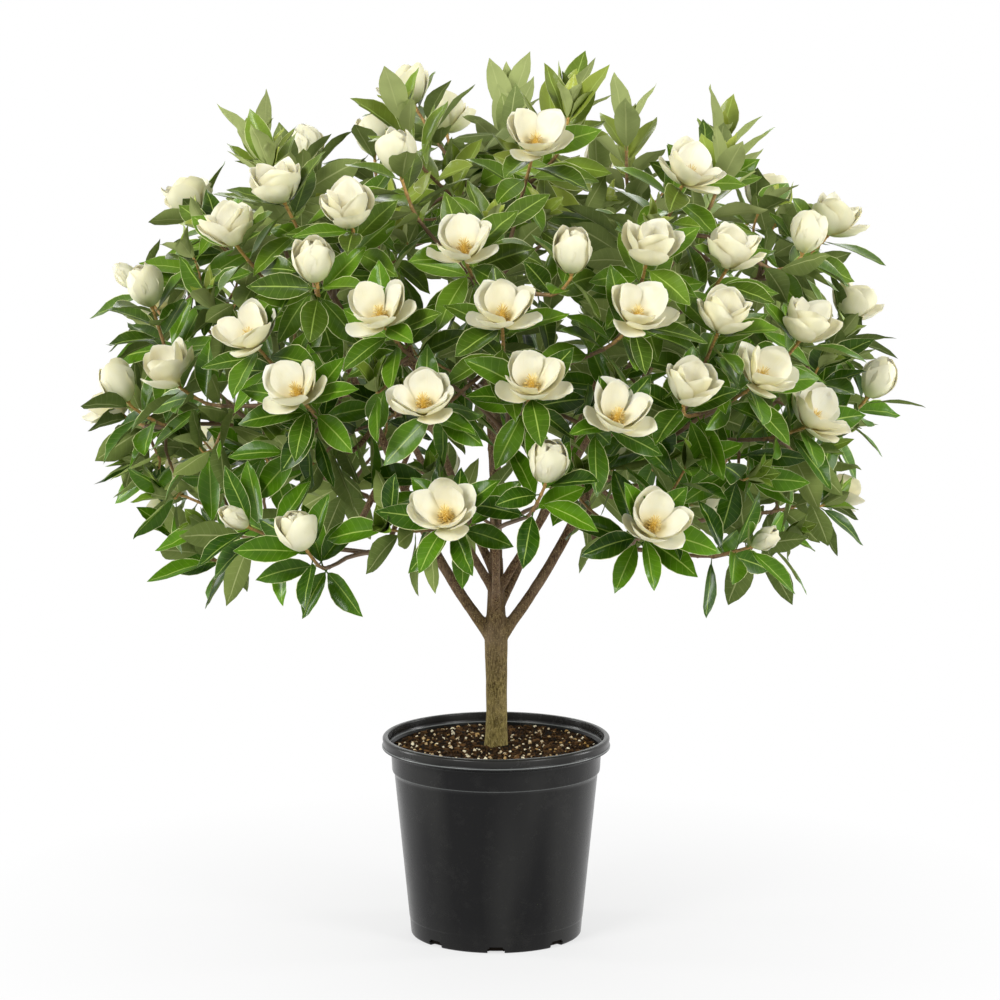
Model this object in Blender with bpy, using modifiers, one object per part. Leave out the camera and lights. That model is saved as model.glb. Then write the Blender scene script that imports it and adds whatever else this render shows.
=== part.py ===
"""Potted sweetbay magnolia: a small branched tree in flower, in a black nursery pot.

Metres, +Z up, -Y is the front. The origin is the middle of the pot's foot, on the floor.
The pot, the potting mix and the wood are one solid each. Each leafy branch is one solid of
twigs and leaves that goes on from the end of a limb, and each flower stands on its own twig.
"""

import math
import random

import bmesh
import bpy
from mathutils import Matrix, Vector
from mathutils.bvhtree import BVHTree

# ---------------------------------------------------------------- driving dimensions

GAP = 0.0003  # between two pieces that touch
WELD = 0.00001  # points nearer than this are one
MILLIMETRE = 0.001

POT_HEIGHT = 0.310
RIM_RADIUS = 0.175
MOUTH_RADIUS = 0.1655
RIM_DEPTH = 0.0175  # height of the rolled rim
RIM_ROUND = 0.004
BAND_RADIUS = 0.1612  # the plain band under the rim
BAND_TAPER = 0.0017
BAND_TOP = 0.2885
LEDGE_TOP = 0.257  # the band ends in a ledge
LEDGE_FOOT = 0.252
LEDGE_RADIUS = 0.156
FOOT_RADIUS = 0.133
HEEL_HEIGHT = 0.026  # below this the wall is upright
FOOT_ROUND = 0.005
POT_WALL = 0.0025
POT_FLOOR = 0.003
POT_SIDES = 32
DRAIN_NOTCHES = 8
DRAIN_WIDTH = 0.026
DRAIN_HEIGHT = 0.010
DRAIN_REACH = 0.030
DRAIN_INSET = 0.004  # from the foot's edge in to the middle of a notch

SOIL_TOP = 0.292
SOIL_RISE = 0.003  # how much the mix is mounded round the trunk

TRUNK_FOOT = 0.180  # height of the buried end of the trunk
COLLAR_TOP = SOIL_TOP + 0.004
COLLAR_RADIUS = 0.0182
TRUNK_SET = Vector((0.001, 0.0, 0.350))  # the collar has narrowed to the trunk's radius here
TRUNK_RADIUS = 0.0162
FORK_HEIGHT = 0.455
LEADER_SUNK = 0.020  # how far below the fork the leader and the limbs start inside the trunk
LEADER_RADIUS = 0.0118
SIDE_LIMB_RADIUS = 0.0105  # the two strong limbs, to the left and the right
LIMB_RADIUS = 0.0078
LIMB_END_RADIUS = 0.0040
LIMB_OUT, LIMB_UP = 0.62, 0.78  # the way that a limb leaves the trunk
LIMB_FIRST, LIMB_RISE = 0.045, 0.030  # above the fork, and from one weak limb to the next
SIDE_BRANCH_SHARE = 0.66  # of its limb's radius
SIDE_BRANCH_OUT = 0.5
LIMB_STEPS, SIDE_BRANCH_STEPS, LEADER_STEPS = 4, 3, 5
ARC_PULL = 0.4  # how far a curve keeps its end directions, as a share of its reach

CROWN_CENTRE = 0.80  # height at which the crown is widest
CROWN_RADIUS = 0.565
CROWN_RISE = 0.475
CROWN_DROP = 0.27
CROWN_SQUARENESS = 2.5
CROWN_HEART = Vector((0.0, 0.0, 0.60))  # the branches fan out from here

SECTORS = 8  # limbs round the trunk
LOW_BELOW, HIGH_ABOVE = 0.80, 1.02  # heights that part the three tiers of leafy branches
TOP_ABOVE, TOP_RADIUS = 1.18, 0.27  # the shoots that the leader itself carries
TWIG_REACH = 0.185  # from a limb's end to the middle of its flowers
TWIG_REACH_SHARE = 0.6  # and at most this share of the way to the crown's heart
HEAD_LENGTH = 0.050  # the stretch of shoot that its flower and leaves take up
BRANCH_LIFT = 0.15
TWIG_STEPS = 4
STUB = 0.006  # straight length on each side of the joint between a limb and its branch
BOW_STEP = 0.014  # how far aside a twig is bowed to find room, step by step
BOW_TRIES = 13
TWIG_FOOT_RADIUS = 0.0038
TWIG_TIP_RADIUS = 0.0022

LEAF_LENGTH = 0.098
LEAF_WIDTH = 0.036
LEAF_THICKNESS = 0.0012
LEAF_SECTIONS = ((0.36, 0.46), (0.70, 0.41), (1.0, 0.03))  # along, and half width
LEAF_FOOT_SHARE = 0.03
LEAF_FOOT_HALF_WIDTH = 0.00154
LEAF_SIZES = (0.86, 1.10)
LEAF_WIDTHS = (0.9, 1.1)
LEAF_DROOPS = (0.12, 0.42)
LEAF_PITCH, LEAFY_PITCH = 64, 34  # degrees from the twig: under a flower, and on a leafy tip
LEAFY_DROOP = 0.4
PITCH_STEP, PITCH_SPREAD, ROLL_SPREAD = 9, 8, 22  # degrees
LEAF_PAIR_BELOW_TIP = 0.010
LEAF_PAIR_STEP = 0.021  # along the twig, from one pair of leaves to the next
LEAF_OFF_AXIS = 0.0014
STALK_HALF = 0.0016  # half the length of twig that a leaf grows out of
FRONT_LEAVES, OTHER_LEAVES = 4, 3  # to a shoot
LEAF_TRIES = 18
TURN_STEP, TILT_STEP = 12, 8  # degrees that a leaf is moved to find room, step by step
TWIST = 1.9  # radians, from one shoot's leaves to the next shoot's
GOLDEN_ANGLE = math.radians(137.508)
TWIG_BEVEL, LIMB_BEVEL, TRUNK_BEVEL = 0, 1, 4  # bevel resolutions, for 4, 6 and 12 sides
UP, DOWN = Vector((0.0, 0.0, 1.0)), Vector((0.0, 0.0, -1.0))

# Shoots that end in a flower, or in leaves alone: the way that they face, in degrees to the
# right of the front, the height of their tip in millimetres, and what they carry.
FRONT_SHOOTS = (
    (10, 1228, "open"), (-21, 1198, "cup"), (42, 1180, "open"), (-44, 1155, "half"),
    (-26, 1130, "half"), (-5, 1095, "open"), (-49, 1095, "half"), (25, 1082, "half"),
    (12, 1072, "cup"), (62, 1075, "cup"), (40, 1068, "half"), (-29, 1055, "cup"),
    (1, 1008, "open"), (21, 1003, "open"), (-17, 1005, "open"), (-68, 993, "cup"),
    (35, 985, "half"), (-38, 965, "open"), (52, 960, "half"), (5, 915, "open"),
    (41, 908, "open"), (-29, 896, "open"), (28, 893, "half"), (-54, 895, "half"),
    (-10, 889, "open"), (17, 868, "open"), (77, 850, "cup"), (-74, 847, "cup"),
    (52, 838, "open"), (7, 792, "cup"), (-7, 735, "open"), (23, 713, "open"),
    (-40, 705, "bud"), (-30, 682, "cup"), (44, 670, "bud"),
)
TOP_SHOOTS = (
    (-46, 1262, "leaf"), (36, 1264, "leaf"), (-60, 1196, "leaf"), (58, 1190, "leaf"),
    (175, 1258, "leaf"), (110, 1205, "leaf"), (-105, 1200, "leaf"), (80, 1272, "leaf"),
    (-110, 1270, "half"),
)
BACK_SHOOTS = (
    (-167, 1210, "open"), (-152, 1172, "cup"), (-137, 1160, "cup"), (159, 1130, "cup"),
    (-109, 1095, "half"), (123, 1092, "half"), (104, 936, "half"), (102, 660, "open"),
    (-108, 657, "open"),
)
# The rest of the back is filled by a rule: points spiral up the crown, and each is kept
# where it is this far from the shoots that are already there.
FILL_POINTS = 120
FILL_SPACING = 0.150
FILL_BEHIND = math.radians(80)
FILL_FROM = CROWN_CENTRE - 0.72 * CROWN_DROP
FILL_TO = CROWN_CENTRE + 0.97 * CROWN_RISE
FILL_STAGES = ("open", "leaf", "cup", "half", "leaf", "open", "bud")
FLOWER_NODES = 32  # flowers that are solids of their own; the rest are one with their twigs

# For each stage: radius and height, the lean of its axis from upright in degrees, and the
# (radius, height) shares of four rings, up its outside and down its inside.
FLOWER_SIZE = {
    "open": (0.048, 0.040), "half": (0.037, 0.052), "cup": (0.025, 0.058), "bud": (0.016, 0.052),
}
FLOWER_LEAN = {"open": 50, "half": 32, "cup": 18, "bud": 42, "leaf": 12}
LOW_LEAN = 28  # what is added to the lean at the bottom of the crown
FLOWER_RINGS = {
    "open": ((0.62, 0.22), (1.00, 0.86), (0.93, 0.90), (0.42, 0.34)),
    "half": ((0.86, 0.34), (1.00, 0.98), (0.90, 1.00), (0.50, 0.45)),
    "cup": ((0.92, 0.32), (0.98, 0.66), (0.55, 1.00), (0.34, 0.90)),
    "bud": ((0.80, 0.26), (1.00, 0.52), (0.74, 0.80), (0.30, 0.96)),
}
FLOWER_HEART = {"open": 0.42, "half": 0.50, "cup": 0.86, "bud": 1.0}
LOBE_DEPTH = {"open": 0.09, "half": 0.06, "cup": 0.03, "bud": 0.0}
LOBES, PLAIN_LOBES = 5, 3
FLOWER_ROOT = 0.0018  # how far a flower that is one with its twig is sunk onto it
OUTLINE_FOOT, OUTLINE_TOP, OUTLINE_SIDES = (0.05, 0.0), (0.40, 1.0), 10

# How much larger a solid is taken to be while room is sought for it, so that pieces keep apart.
TWIG_CLEAR, TWIG_OWN, LIMB_OWN, LEAF_CLEAR, FLOWER_CLEAR = 1.4, 1.1, 1.1, 1.3, 1.05


# ---------------------------------------------------------------- layout of the tree

class Shoot:
    """The end of a twig: where it ends, the way it points, and what it carries."""

    def __init__(self, azimuth, height, stage, index):
        self.azimuth, self.stage, self.index = azimuth, stage, index
        out = Vector((math.sin(azimuth), -math.cos(azimuth), 0.0))
        self.tip = out * crown_radius(height) + UP * height
        lowness = (HIGH_ABOVE - height) / (HIGH_ABOVE - CROWN_CENTRE + CROWN_DROP)
        lean = math.radians(FLOWER_LEAN[stage] + LOW_LEAN * max(0.0, lowness))
        self.axis = (out * math.sin(lean) + UP * math.cos(lean)).normalized()
        self.path, self.leaves = [], []


class Leaf:
    """A blade from its foot on the twig to its tip: a bent centre line and a width."""

    def __init__(self, pair, foot, direction, across, droop, length, width):
        self.pair, self.foot, self.direction, self.across = pair, foot, direction, across
        self.droop, self.length, self.width = droop, length, width

    def section(self, share, half_width, half_thickness):
        """Corners across the blade: left under, right under, right upper, left upper."""
        fall = DOWN * (0.5 * self.droop * share * share)
        middle = self.foot + (self.direction * share + fall) * self.length
        along = (self.direction + DOWN * self.droop * share).normalized()
        side = self.across * half_width
        rise = self.across.cross(along).normalized() * half_thickness
        return [middle - side - rise, middle + side - rise, middle + side + rise, middle - side + rise]

    def sections(self, swell=1.0):
        """The blade's two wide sections and its tip."""
        half_thickness = LEAF_THICKNESS / 2 * swell
        wide = self.width * swell
        return [self.section(share, half * wide, half_thickness) for share, half in LEAF_SECTIONS]


def crown_radius(height):
    """Radius of the shell on which the shoots end."""
    reach = CROWN_RISE if height > CROWN_CENTRE else CROWN_DROP
    share = min(1.0, abs(height - CROWN_CENTRE) / reach)
    return CROWN_RADIUS * (1 - share ** CROWN_SQUARENESS) ** (1 / CROWN_SQUARENESS)


def all_shoots():
    """The placed shoots, then those that fill the back of the crown."""
    shoots = [
        Shoot(math.radians(azimuth), height * MILLIMETRE, stage, index)
        for index, (azimuth, height, stage) in enumerate(FRONT_SHOOTS + TOP_SHOOTS + BACK_SHOOTS)
    ]
    filled = 0
    for point in range(FILL_POINTS):
        azimuth = math.remainder(point * GOLDEN_ANGLE, math.tau)
        height = FILL_FROM + (FILL_TO - FILL_FROM) * (point + 0.5) / FILL_POINTS
        shoot = Shoot(azimuth, height, FILL_STAGES[filled % len(FILL_STAGES)], len(shoots))
        apart = all((shoot.tip - other.tip).length > FILL_SPACING for other in shoots)
        if abs(azimuth) > FILL_BEHIND and apart:
            shoots.append(shoot)
            filled += 1
    return shoots


def arc_to(start, start_way, end, end_way, steps, bow=Vector((0, 0, 0))):
    """A curve that leaves start one way and reaches end the other way, bowed aside."""
    reach = ARC_PULL * (end - start).length
    first, second = start + start_way * reach + bow, end - end_way * reach + bow
    points = []
    for step in range(steps + 1):
        t = step / steps
        s = 1 - t
        points.append(start * s**3 + first * 3 * s * s * t + second * 3 * s * t * t + end * t**3)
    return points


def way_at(path, index):
    return (path[min(index + 1, len(path) - 1)] - path[max(index - 1, 0)]).normalized()


def point_below(path, distance):
    """(point, way) on a path, at a distance back from its end."""
    for index in range(len(path) - 1, 0, -1):
        step = path[index] - path[index - 1]
        if distance <= step.length or index == 1:
            return path[index] - step.normalized() * distance, step.normalized()
        distance -= step.length


def tapered(path, foot_radius, end_radius):
    """A path with a radius at each point."""
    last = len(path) - 1
    return path, [foot_radius + (end_radius - foot_radius) * i / last for i in range(last + 1)]


def grouped(shoots):
    """Shoots by (tier, sector): each group grows on one leafy branch."""
    groups = {}
    for shoot in shoots:
        height = shoot.tip.z
        if height > TOP_ABOVE and shoot.tip.xy.length < TOP_RADIUS:
            key = ("top", 0)
        else:
            tier = "low" if height < LOW_BELOW else "high" if height > HIGH_ABOVE else "mid"
            key = (tier, round(shoot.azimuth / math.tau * SECTORS) % SECTORS)
        groups.setdefault(key, []).append(shoot)
    return dict(sorted(groups.items()))


def branch_foot(shoots):
    """Where a group's branch goes on from its limb, and the way that it sets out."""
    heads = [shoot.tip - shoot.axis * HEAD_LENGTH for shoot in shoots]
    middle = sum(heads, Vector()) / len(heads)
    outward = middle - CROWN_HEART
    reach = min(TWIG_REACH, TWIG_REACH_SHARE * outward.length)
    outward.normalize()
    return middle - outward * reach, (outward + UP * BRANCH_LIFT).normalized()


def limb_to(start, leaving, foot, way, steps):
    """A limb's path, square to the branch that goes on from its end."""
    return [*arc_to(start, leaving, foot - way * STUB, way, steps), foot]


def grow_limbs(feet):
    """(path, radii) of the trunk, the leader and the limbs, each of which ends at a foot."""
    fork = UP * FORK_HEIGHT
    trunk = [UP * TRUNK_FOOT, UP * COLLAR_TOP, TRUNK_SET, fork]
    limbs = [(trunk, [COLLAR_RADIUS, COLLAR_RADIUS, TRUNK_RADIUS, TRUNK_RADIUS])]
    leader = limb_to(fork - UP * LEADER_SUNK, UP, *feet["top", 0], LEADER_STEPS)
    limbs.append(tapered(leader, LEADER_RADIUS, LIMB_END_RADIUS))
    for sector in range(SECTORS):
        azimuth = sector * math.tau / SECTORS
        out = Vector((math.sin(azimuth), -math.cos(azimuth), 0.0))
        tiers = [tier for tier in ("high", "mid", "low") if (tier, sector) in feet]
        strong = sector in (SECTORS // 4, 3 * SECTORS // 4)
        start = fork if strong else fork + UP * (LIMB_FIRST + LIMB_RISE * (sector % 3))
        radius = SIDE_LIMB_RADIUS if strong else LIMB_RADIUS
        leaving = (out * LIMB_OUT + UP * LIMB_UP).normalized()
        main = limb_to(start, leaving, *feet[tiers[0], sector], LIMB_STEPS)
        limbs.append(tapered(main, radius, LIMB_END_RADIUS))
        for index, tier in zip((3, 2), tiers[1:]):
            leaving = (way_at(main, index) + out * SIDE_BRANCH_OUT).normalized()
            side = limb_to(main[index], leaving, *feet[tier, sector], SIDE_BRANCH_STEPS)
            limbs.append(tapered(side, radius * SIDE_BRANCH_SHARE, LIMB_END_RADIUS))
    return limbs


# ---------------------------------------------------------------- room in the crown

class Room:
    """What already stands in the crown, for finding a free place for what grows next."""

    CELL = 0.07

    def __init__(self):
        self.cells = {}

    def cells_of(self, points):
        spans = []
        for axis in range(3):
            values = [point[axis] for point in points]
            spans.append(range(int(min(values) // self.CELL), int(max(values) // self.CELL) + 1))
        return [(x, y, z) for x in spans[0] for y in spans[1] for z in spans[2]]

    def add(self, solid, *owner):
        entry = (BVHTree.FromPolygons(*solid), owner)
        for cell in self.cells_of(solid[0]):
            self.cells.setdefault(cell, []).append(entry)

    def is_free(self, solid, *kin):
        """Whether a solid touches nothing but its kin, each given as the start of an owner."""
        tree = BVHTree.FromPolygons(*solid)
        near = {}
        for cell in self.cells_of(solid[0]):
            near.update((id(entry), entry) for entry in self.cells.get(cell, ()))
        strangers = [
            other
            for other, owner in near.values()
            if not any(owner[: len(start)] == start for start in kin)
        ]
        return not any(other.overlap(tree) for other in strangers)


def tube(path, radii, sides=4):
    """Points and faces of a plain tube with flat ends."""
    aside = (path[-1] - path[0]).orthogonal()
    points, faces = [], []
    for index, (centre, radius) in enumerate(zip(path, radii)):
        along = way_at(path, index)
        first = (aside - along * aside.dot(along)).normalized()
        second = along.cross(first)
        for side in range(sides):
            angle = math.tau * side / sides
            points.append(centre + (first * math.cos(angle) + second * math.sin(angle)) * radius)
    last = sides * (len(path) - 1)
    for low in range(0, last, sides):
        faces += [
            (low + k, low + (k + 1) % sides, low + sides + (k + 1) % sides, low + sides + k)
            for k in range(sides)
        ]
    return points, faces + [tuple(range(sides)), tuple(range(last, last + sides))]


def blade(leaf, swell):
    """Points and faces of a leaf's plain solid, from its foot to its tip."""
    foot = leaf.section(LEAF_FOOT_SHARE, LEAF_FOOT_HALF_WIDTH, LEAF_THICKNESS / 2)
    points = [corner for section in [foot, *leaf.sections(swell)] for corner in section]
    faces = [(0, 1, 2, 3), (12, 13, 14, 15)]
    for low in (0, 4, 8):
        faces += [(low + k, low + (k + 1) % 4, low + 4 + (k + 1) % 4, low + 4 + k) for k in range(4)]
    return points, faces


def flower_place(shoot):
    """Turns a flower that stands upright at the origin onto its twig."""
    turn = shoot.axis.to_track_quat("Z", "Y").to_matrix().to_4x4()
    spin = Matrix.Rotation(shoot.index * GOLDEN_ANGLE, 4, "Z")
    return Matrix.Translation(shoot.tip + shoot.axis * GAP) @ turn @ spin


def flower_outline(shoot, swell):
    """Points and faces of a plain solid round a flower."""
    radius, height = FLOWER_SIZE[shoot.stage]
    rings = (OUTLINE_FOOT, *FLOWER_RINGS[shoot.stage][:2], OUTLINE_TOP)
    path = [shoot.tip + shoot.axis * (GAP + rise * height * swell) for _, rise in rings]
    lobed = (1 + LOBE_DEPTH[shoot.stage]) * radius * swell
    return tube(path, [share * lobed for share, _ in rings], OUTLINE_SIDES)


def grow_twigs(groups, feet, room):
    """Each shoot's twig, bowed aside where it would run into something else."""
    for key, shoots in groups.items():
        foot, way = feet[key]
        shoots.sort(key=lambda shoot: -(shoot.tip - foot).normalized().dot(way))
        for order, shoot in enumerate(shoots):
            start, leaving = foot, way
            if order:
                first, index = shoots[0].path, 1 + (order - 1) % 3
                start = first[index]
                leaving = (way_at(first, index) + (shoot.tip - start).normalized()).normalized()
            aside = (shoot.tip - start).cross(shoot.axis).normalized()
            kin = (("twig", key), ("flower", shoot.index))
            end = shoot.tip - shoot.axis * LEAF_PAIR_BELOW_TIP
            for attempt in range(BOW_TRIES):
                bow = aside * BOW_STEP * ((attempt + 1) // 2) * (-1) ** attempt
                if order:
                    arc = arc_to(start, leaving, end, shoot.axis, TWIG_STEPS, bow)
                else:
                    arc = arc_to(foot + way * STUB, way, end, shoot.axis, TWIG_STEPS - 1, bow)
                    arc.insert(0, foot + way * GAP)
                shoot.path = [*arc, shoot.tip]
                thick = (TWIG_FOOT_RADIUS * TWIG_CLEAR, TWIG_TIP_RADIUS * TWIG_CLEAR)
                if room.is_free(tube(*tapered(shoot.path[1:], *thick)), *kin):
                    break
            own = tapered(shoot.path, TWIG_FOOT_RADIUS * TWIG_OWN, TWIG_TIP_RADIUS * TWIG_OWN)
            room.add(tube(*own), "twig", key, shoot.index)


def leaf_on(shoot, number, chance, turn, tilt):
    """Leaf number along a shoot, counted down from its tip, turned and tilted aside."""
    pair = number // 2
    foot, along = point_below(shoot.path, LEAF_PAIR_BELOW_TIP + LEAF_PAIR_STEP * pair)
    angle = number * GOLDEN_ANGLE + shoot.index * TWIST + turn
    outward = Matrix.Rotation(angle, 3, along) @ along.orthogonal().normalized()
    leafy = shoot.stage == "leaf"
    degrees = (LEAFY_PITCH if leafy else LEAF_PITCH) + PITCH_STEP * pair
    pitch = math.radians(degrees + chance.uniform(-PITCH_SPREAD, PITCH_SPREAD)) + tilt
    direction = (along * math.cos(pitch) + outward * math.sin(pitch)).normalized()
    roll = math.radians(chance.uniform(-ROLL_SPREAD, ROLL_SPREAD))
    across = Matrix.Rotation(roll, 3, direction) @ direction.cross(along).normalized()
    size = chance.uniform(*LEAF_SIZES)
    droop = chance.uniform(*LEAF_DROOPS) * (LEAFY_DROOP if leafy else 1.0)
    width = LEAF_WIDTH * size * chance.uniform(*LEAF_WIDTHS)
    start = foot + outward * LEAF_OFF_AXIS
    return Leaf(pair, start, direction, across, droop, LEAF_LENGTH * size, width)


def grow_leaves(groups, room):
    """Gives each shoot its leaves, each where it touches nothing that is already there."""
    for key, shoots in groups.items():
        for shoot in shoots:
            in_front = shoot.index < len(FRONT_SHOOTS)
            for number in range(FRONT_LEAVES if in_front else OTHER_LEAVES):
                for attempt in range(LEAF_TRIES):
                    seed = shoot.index * 997 + number * 31 + attempt
                    turn = math.radians(TURN_STEP * ((attempt + 1) // 2) * (-1) ** attempt)
                    tilt = math.radians(TILT_STEP * (attempt % 4 - 1))
                    leaf = leaf_on(shoot, number, random.Random(seed), turn, tilt)
                    solid = blade(leaf, LEAF_CLEAR)
                    if room.is_free(solid, ("twig", key, shoot.index)):
                        room.add(solid, "leaf", key, shoot.index)
                        shoot.leaves.append(leaf)
                        break


# ---------------------------------------------------------------- modelling helpers

def material(name, colour, roughness):
    made = bpy.data.materials.new(name)
    made.use_nodes = True
    surface = made.node_tree.nodes["Principled BSDF"]
    surface.inputs["Base Color"].default_value = (*colour, 1.0)
    surface.inputs["Roughness"].default_value = roughness
    surface.inputs["Metallic"].default_value = 0.0
    return made


def add_object(name, mesh, collection, finish=None):
    made = bpy.data.objects.new(name, mesh)
    collection.objects.link(made)
    if finish:
        mesh.materials.clear()
        mesh.materials.append(finish)
    return made


def turned(name, profile, collection, finish):
    """A turned solid from a closed profile of (radius, height), by a Screw modifier."""
    mesh = bpy.data.meshes.new(name)
    points = [(radius, 0.0, height) for radius, height in profile]
    mesh.from_pydata(points, [(i, i + 1) for i in range(len(points) - 1)], [])
    made = add_object(name, mesh, collection, finish)
    screw = made.modifiers.new("Turn", "SCREW")
    screw.steps = screw.render_steps = POT_SIDES
    screw.use_merge_vertices = True
    screw.merge_threshold = WELD
    screw.use_smooth_shade = True
    return made


def boolean(target, cutter, operation):
    step = target.modifiers.new(operation.title(), "BOOLEAN")
    step.operation = operation
    step.object = cutter


def curve_mesh(name, path, radii, resolution):
    """A tube along a path, as a closed mesh with 4 + 2 * resolution sides."""
    curve = bpy.data.curves.new(name, "CURVE")
    curve.dimensions = "3D"
    curve.bevel_depth = 1.0
    curve.bevel_resolution = resolution
    curve.use_fill_caps = True
    spline = curve.splines.new("POLY")
    spline.points.add(len(path) - 1)
    for point, place, radius in zip(spline.points, path, radii):
        point.co = (*place, 1.0)
        point.radius = radius
    holder = bpy.data.objects.new(name, curve)
    bpy.context.scene.collection.objects.link(holder)
    graph = bpy.context.evaluated_depsgraph_get()
    mesh = bpy.data.meshes.new_from_object(holder.evaluated_get(graph))
    bpy.data.objects.remove(holder)
    shape = bmesh.new()
    shape.from_mesh(mesh)
    bmesh.ops.remove_doubles(shape, verts=shape.verts, dist=WELD)
    shape.to_mesh(mesh)
    shape.free()
    return mesh


def joined(name, meshes, collection, finish):
    """One solid from closed meshes that overlap."""
    others = [add_object(f"{name}_{n}", mesh, collection) for n, mesh in enumerate(meshes[1:])]
    whole = add_object(name, meshes[0], collection, finish)
    for other in others:
        boolean(whole, other, "UNION")
    graph = bpy.context.evaluated_depsgraph_get()
    whole.data = bpy.data.meshes.new_from_object(whole.evaluated_get(graph))
    whole.modifiers.clear()
    for other in others:
        bpy.data.objects.remove(other)
    whole.data.name = name


# ---------------------------------------------------------------- the pieces

def pot_wall(inset, lift):
    """(radius, height) down the pot's wall, from the band's top to the ledge's foot, moved in."""
    wall = ((BAND_RADIUS, BAND_TOP), (BAND_RADIUS - BAND_TAPER, LEDGE_TOP), (LEDGE_RADIUS, LEDGE_FOOT))
    return [(radius - inset, height + lift) for radius, height in wall]


def pot_inside(inset):
    """(radius, height) down the inside of the pot to its floor, moved in."""
    foot = FOOT_RADIUS - POT_WALL - POT_FLOOR
    return [*pot_wall(POT_WALL + inset, MILLIMETRE), (foot - inset, POT_FLOOR)]


def make_pot(collection, cutters, finish):
    """Blow-moulded pot: rolled rim, plain band, ledge, tapered wall and notched foot."""
    inside = pot_inside(0.0)[::-1]
    rim_middle = (MOUTH_RADIUS + RIM_RADIUS) / 2
    rim = (
        (MOUTH_RADIUS, POT_HEIGHT - 0.75 * RIM_DEPTH),
        (MOUTH_RADIUS + MILLIMETRE, POT_HEIGHT - MILLIMETRE),
        (rim_middle, POT_HEIGHT),
        (RIM_RADIUS - MILLIMETRE, POT_HEIGHT - RIM_ROUND),
        (RIM_RADIUS, POT_HEIGHT - 0.55 * RIM_DEPTH),
        (RIM_RADIUS - 2 * MILLIMETRE, POT_HEIGHT - RIM_DEPTH),
    )
    heel = (
        (FOOT_RADIUS, HEEL_HEIGHT),
        (FOOT_RADIUS - MILLIMETRE, FOOT_ROUND - MILLIMETRE),
        (FOOT_RADIUS - FOOT_ROUND, 0.0),
    )
    outside = [*pot_wall(0.0, 0.0), *heel]
    profile = [(0.0, POT_FLOOR), *inside, *rim, *outside, (0.0, 0.0)]
    pot = turned("nursery_pot", profile, collection, finish)
    for number in range(DRAIN_NOTCHES):
        turn = Matrix.Rotation(math.tau * number / DRAIN_NOTCHES, 4, "Z")
        place = turn @ Matrix.Translation((0.0, DRAIN_INSET - FOOT_RADIUS, 0.0))
        shape = bmesh.new()
        bmesh.ops.create_cube(shape, size=1.0)
        bmesh.ops.scale(shape, vec=(DRAIN_WIDTH, DRAIN_REACH, 2 * DRAIN_HEIGHT), verts=shape.verts)
        mesh = bpy.data.meshes.new(f"drain_cutter_{number}")
        shape.to_mesh(mesh)
        shape.free()
        cutter = add_object(mesh.name, mesh, cutters)
        cutter.matrix_world = place
        cutter.hide_render = True
        cutter.display_type = "WIRE"
        boolean(pot, cutter, "DIFFERENCE")


def make_soil(collection, finish):
    """Potting mix that fills the pot, with the hole that the trunk stands in."""
    bore = COLLAR_RADIUS + 2 * GAP
    wall = pot_inside(GAP)
    top = [(wall[0][0], SOIL_TOP)]
    foot = [(wall[-1][0], POT_FLOOR + GAP), (0.0, POT_FLOOR + GAP)]
    hole = [(0.0, TRUNK_FOOT - GAP), (bore, TRUNK_FOOT - GAP), (bore, SOIL_TOP + SOIL_RISE)]
    turned("potting_mix", hole + top + wall[:-1] + foot, collection, finish)


def make_wood(limbs, collection, finish):
    """Trunk, leader and limbs, grown together."""
    meshes = [
        curve_mesh(f"limb_{number}", path, radii, TRUNK_BEVEL if number == 0 else LIMB_BEVEL)
        for number, (path, radii) in enumerate(limbs)
    ]
    joined("trunk_and_limbs", meshes, collection, finish)


def twig_rings(shoot):
    """Path and radii of a twig, with two rings close together at each pair of leaves."""
    steps = [(b - a).length for a, b in zip(shoot.path, shoot.path[1:])]
    length = sum(steps)
    stations = {0.0, length}
    for pair in {LEAF_PAIR_BELOW_TIP + LEAF_PAIR_STEP * leaf.pair for leaf in shoot.leaves}:
        stations |= {pair - STALK_HALF, pair + STALK_HALF}
    bare = max(stations - {length}) + 4 * STALK_HALF
    stations |= {sum(steps[i:]) for i in range(1, TWIG_STEPS) if sum(steps[i:]) > bare}
    stations = sorted(stations, reverse=True)
    path = [point_below(shoot.path, station)[0] for station in stations]
    slope = (TWIG_FOOT_RADIUS - TWIG_TIP_RADIUS) / length
    return path, [TWIG_TIP_RADIUS + slope * station for station in stations]


def draw_out(shape, face, leaf):
    """Extrudes a face of a twig into a leaf, section by section, to a pointed tip."""
    upper = leaf.across.cross(leaf.direction)
    for section in leaf.sections():
        face = bmesh.ops.extrude_discrete_faces(shape, faces=[face])["faces"][0]
        order = sorted(face.verts, key=lambda vert: vert.co.dot(leaf.across))
        left = sorted(order[:2], key=lambda vert: vert.co.dot(upper))
        right = sorted(order[2:], key=lambda vert: vert.co.dot(upper))
        for vert, corner in zip((left[0], right[0], right[1], left[1]), section):
            vert.co = corner
    middle = sum((vert.co for vert in face.verts), Vector()) / len(face.verts)
    bmesh.ops.pointmerge(shape, verts=face.verts, merge_co=middle)


def leafy_twig(name, shoot):
    """A twig's closed mesh, with its leaves drawn out of its sides."""
    mesh = curve_mesh(name, *twig_rings(shoot), TWIG_BEVEL)
    shape = bmesh.new()
    shape.from_mesh(mesh)
    free = [face for face in shape.faces if len(face.verts) == 4]
    for leaf in shoot.leaves:
        nearest = min(free, key=lambda face: (face.calc_center_median() - leaf.foot).length)
        free.remove(nearest)
        draw_out(shape, nearest, leaf)
    bmesh.ops.recalc_face_normals(shape, faces=shape.faces)
    shape.to_mesh(mesh)
    shape.free()
    return mesh


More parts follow.
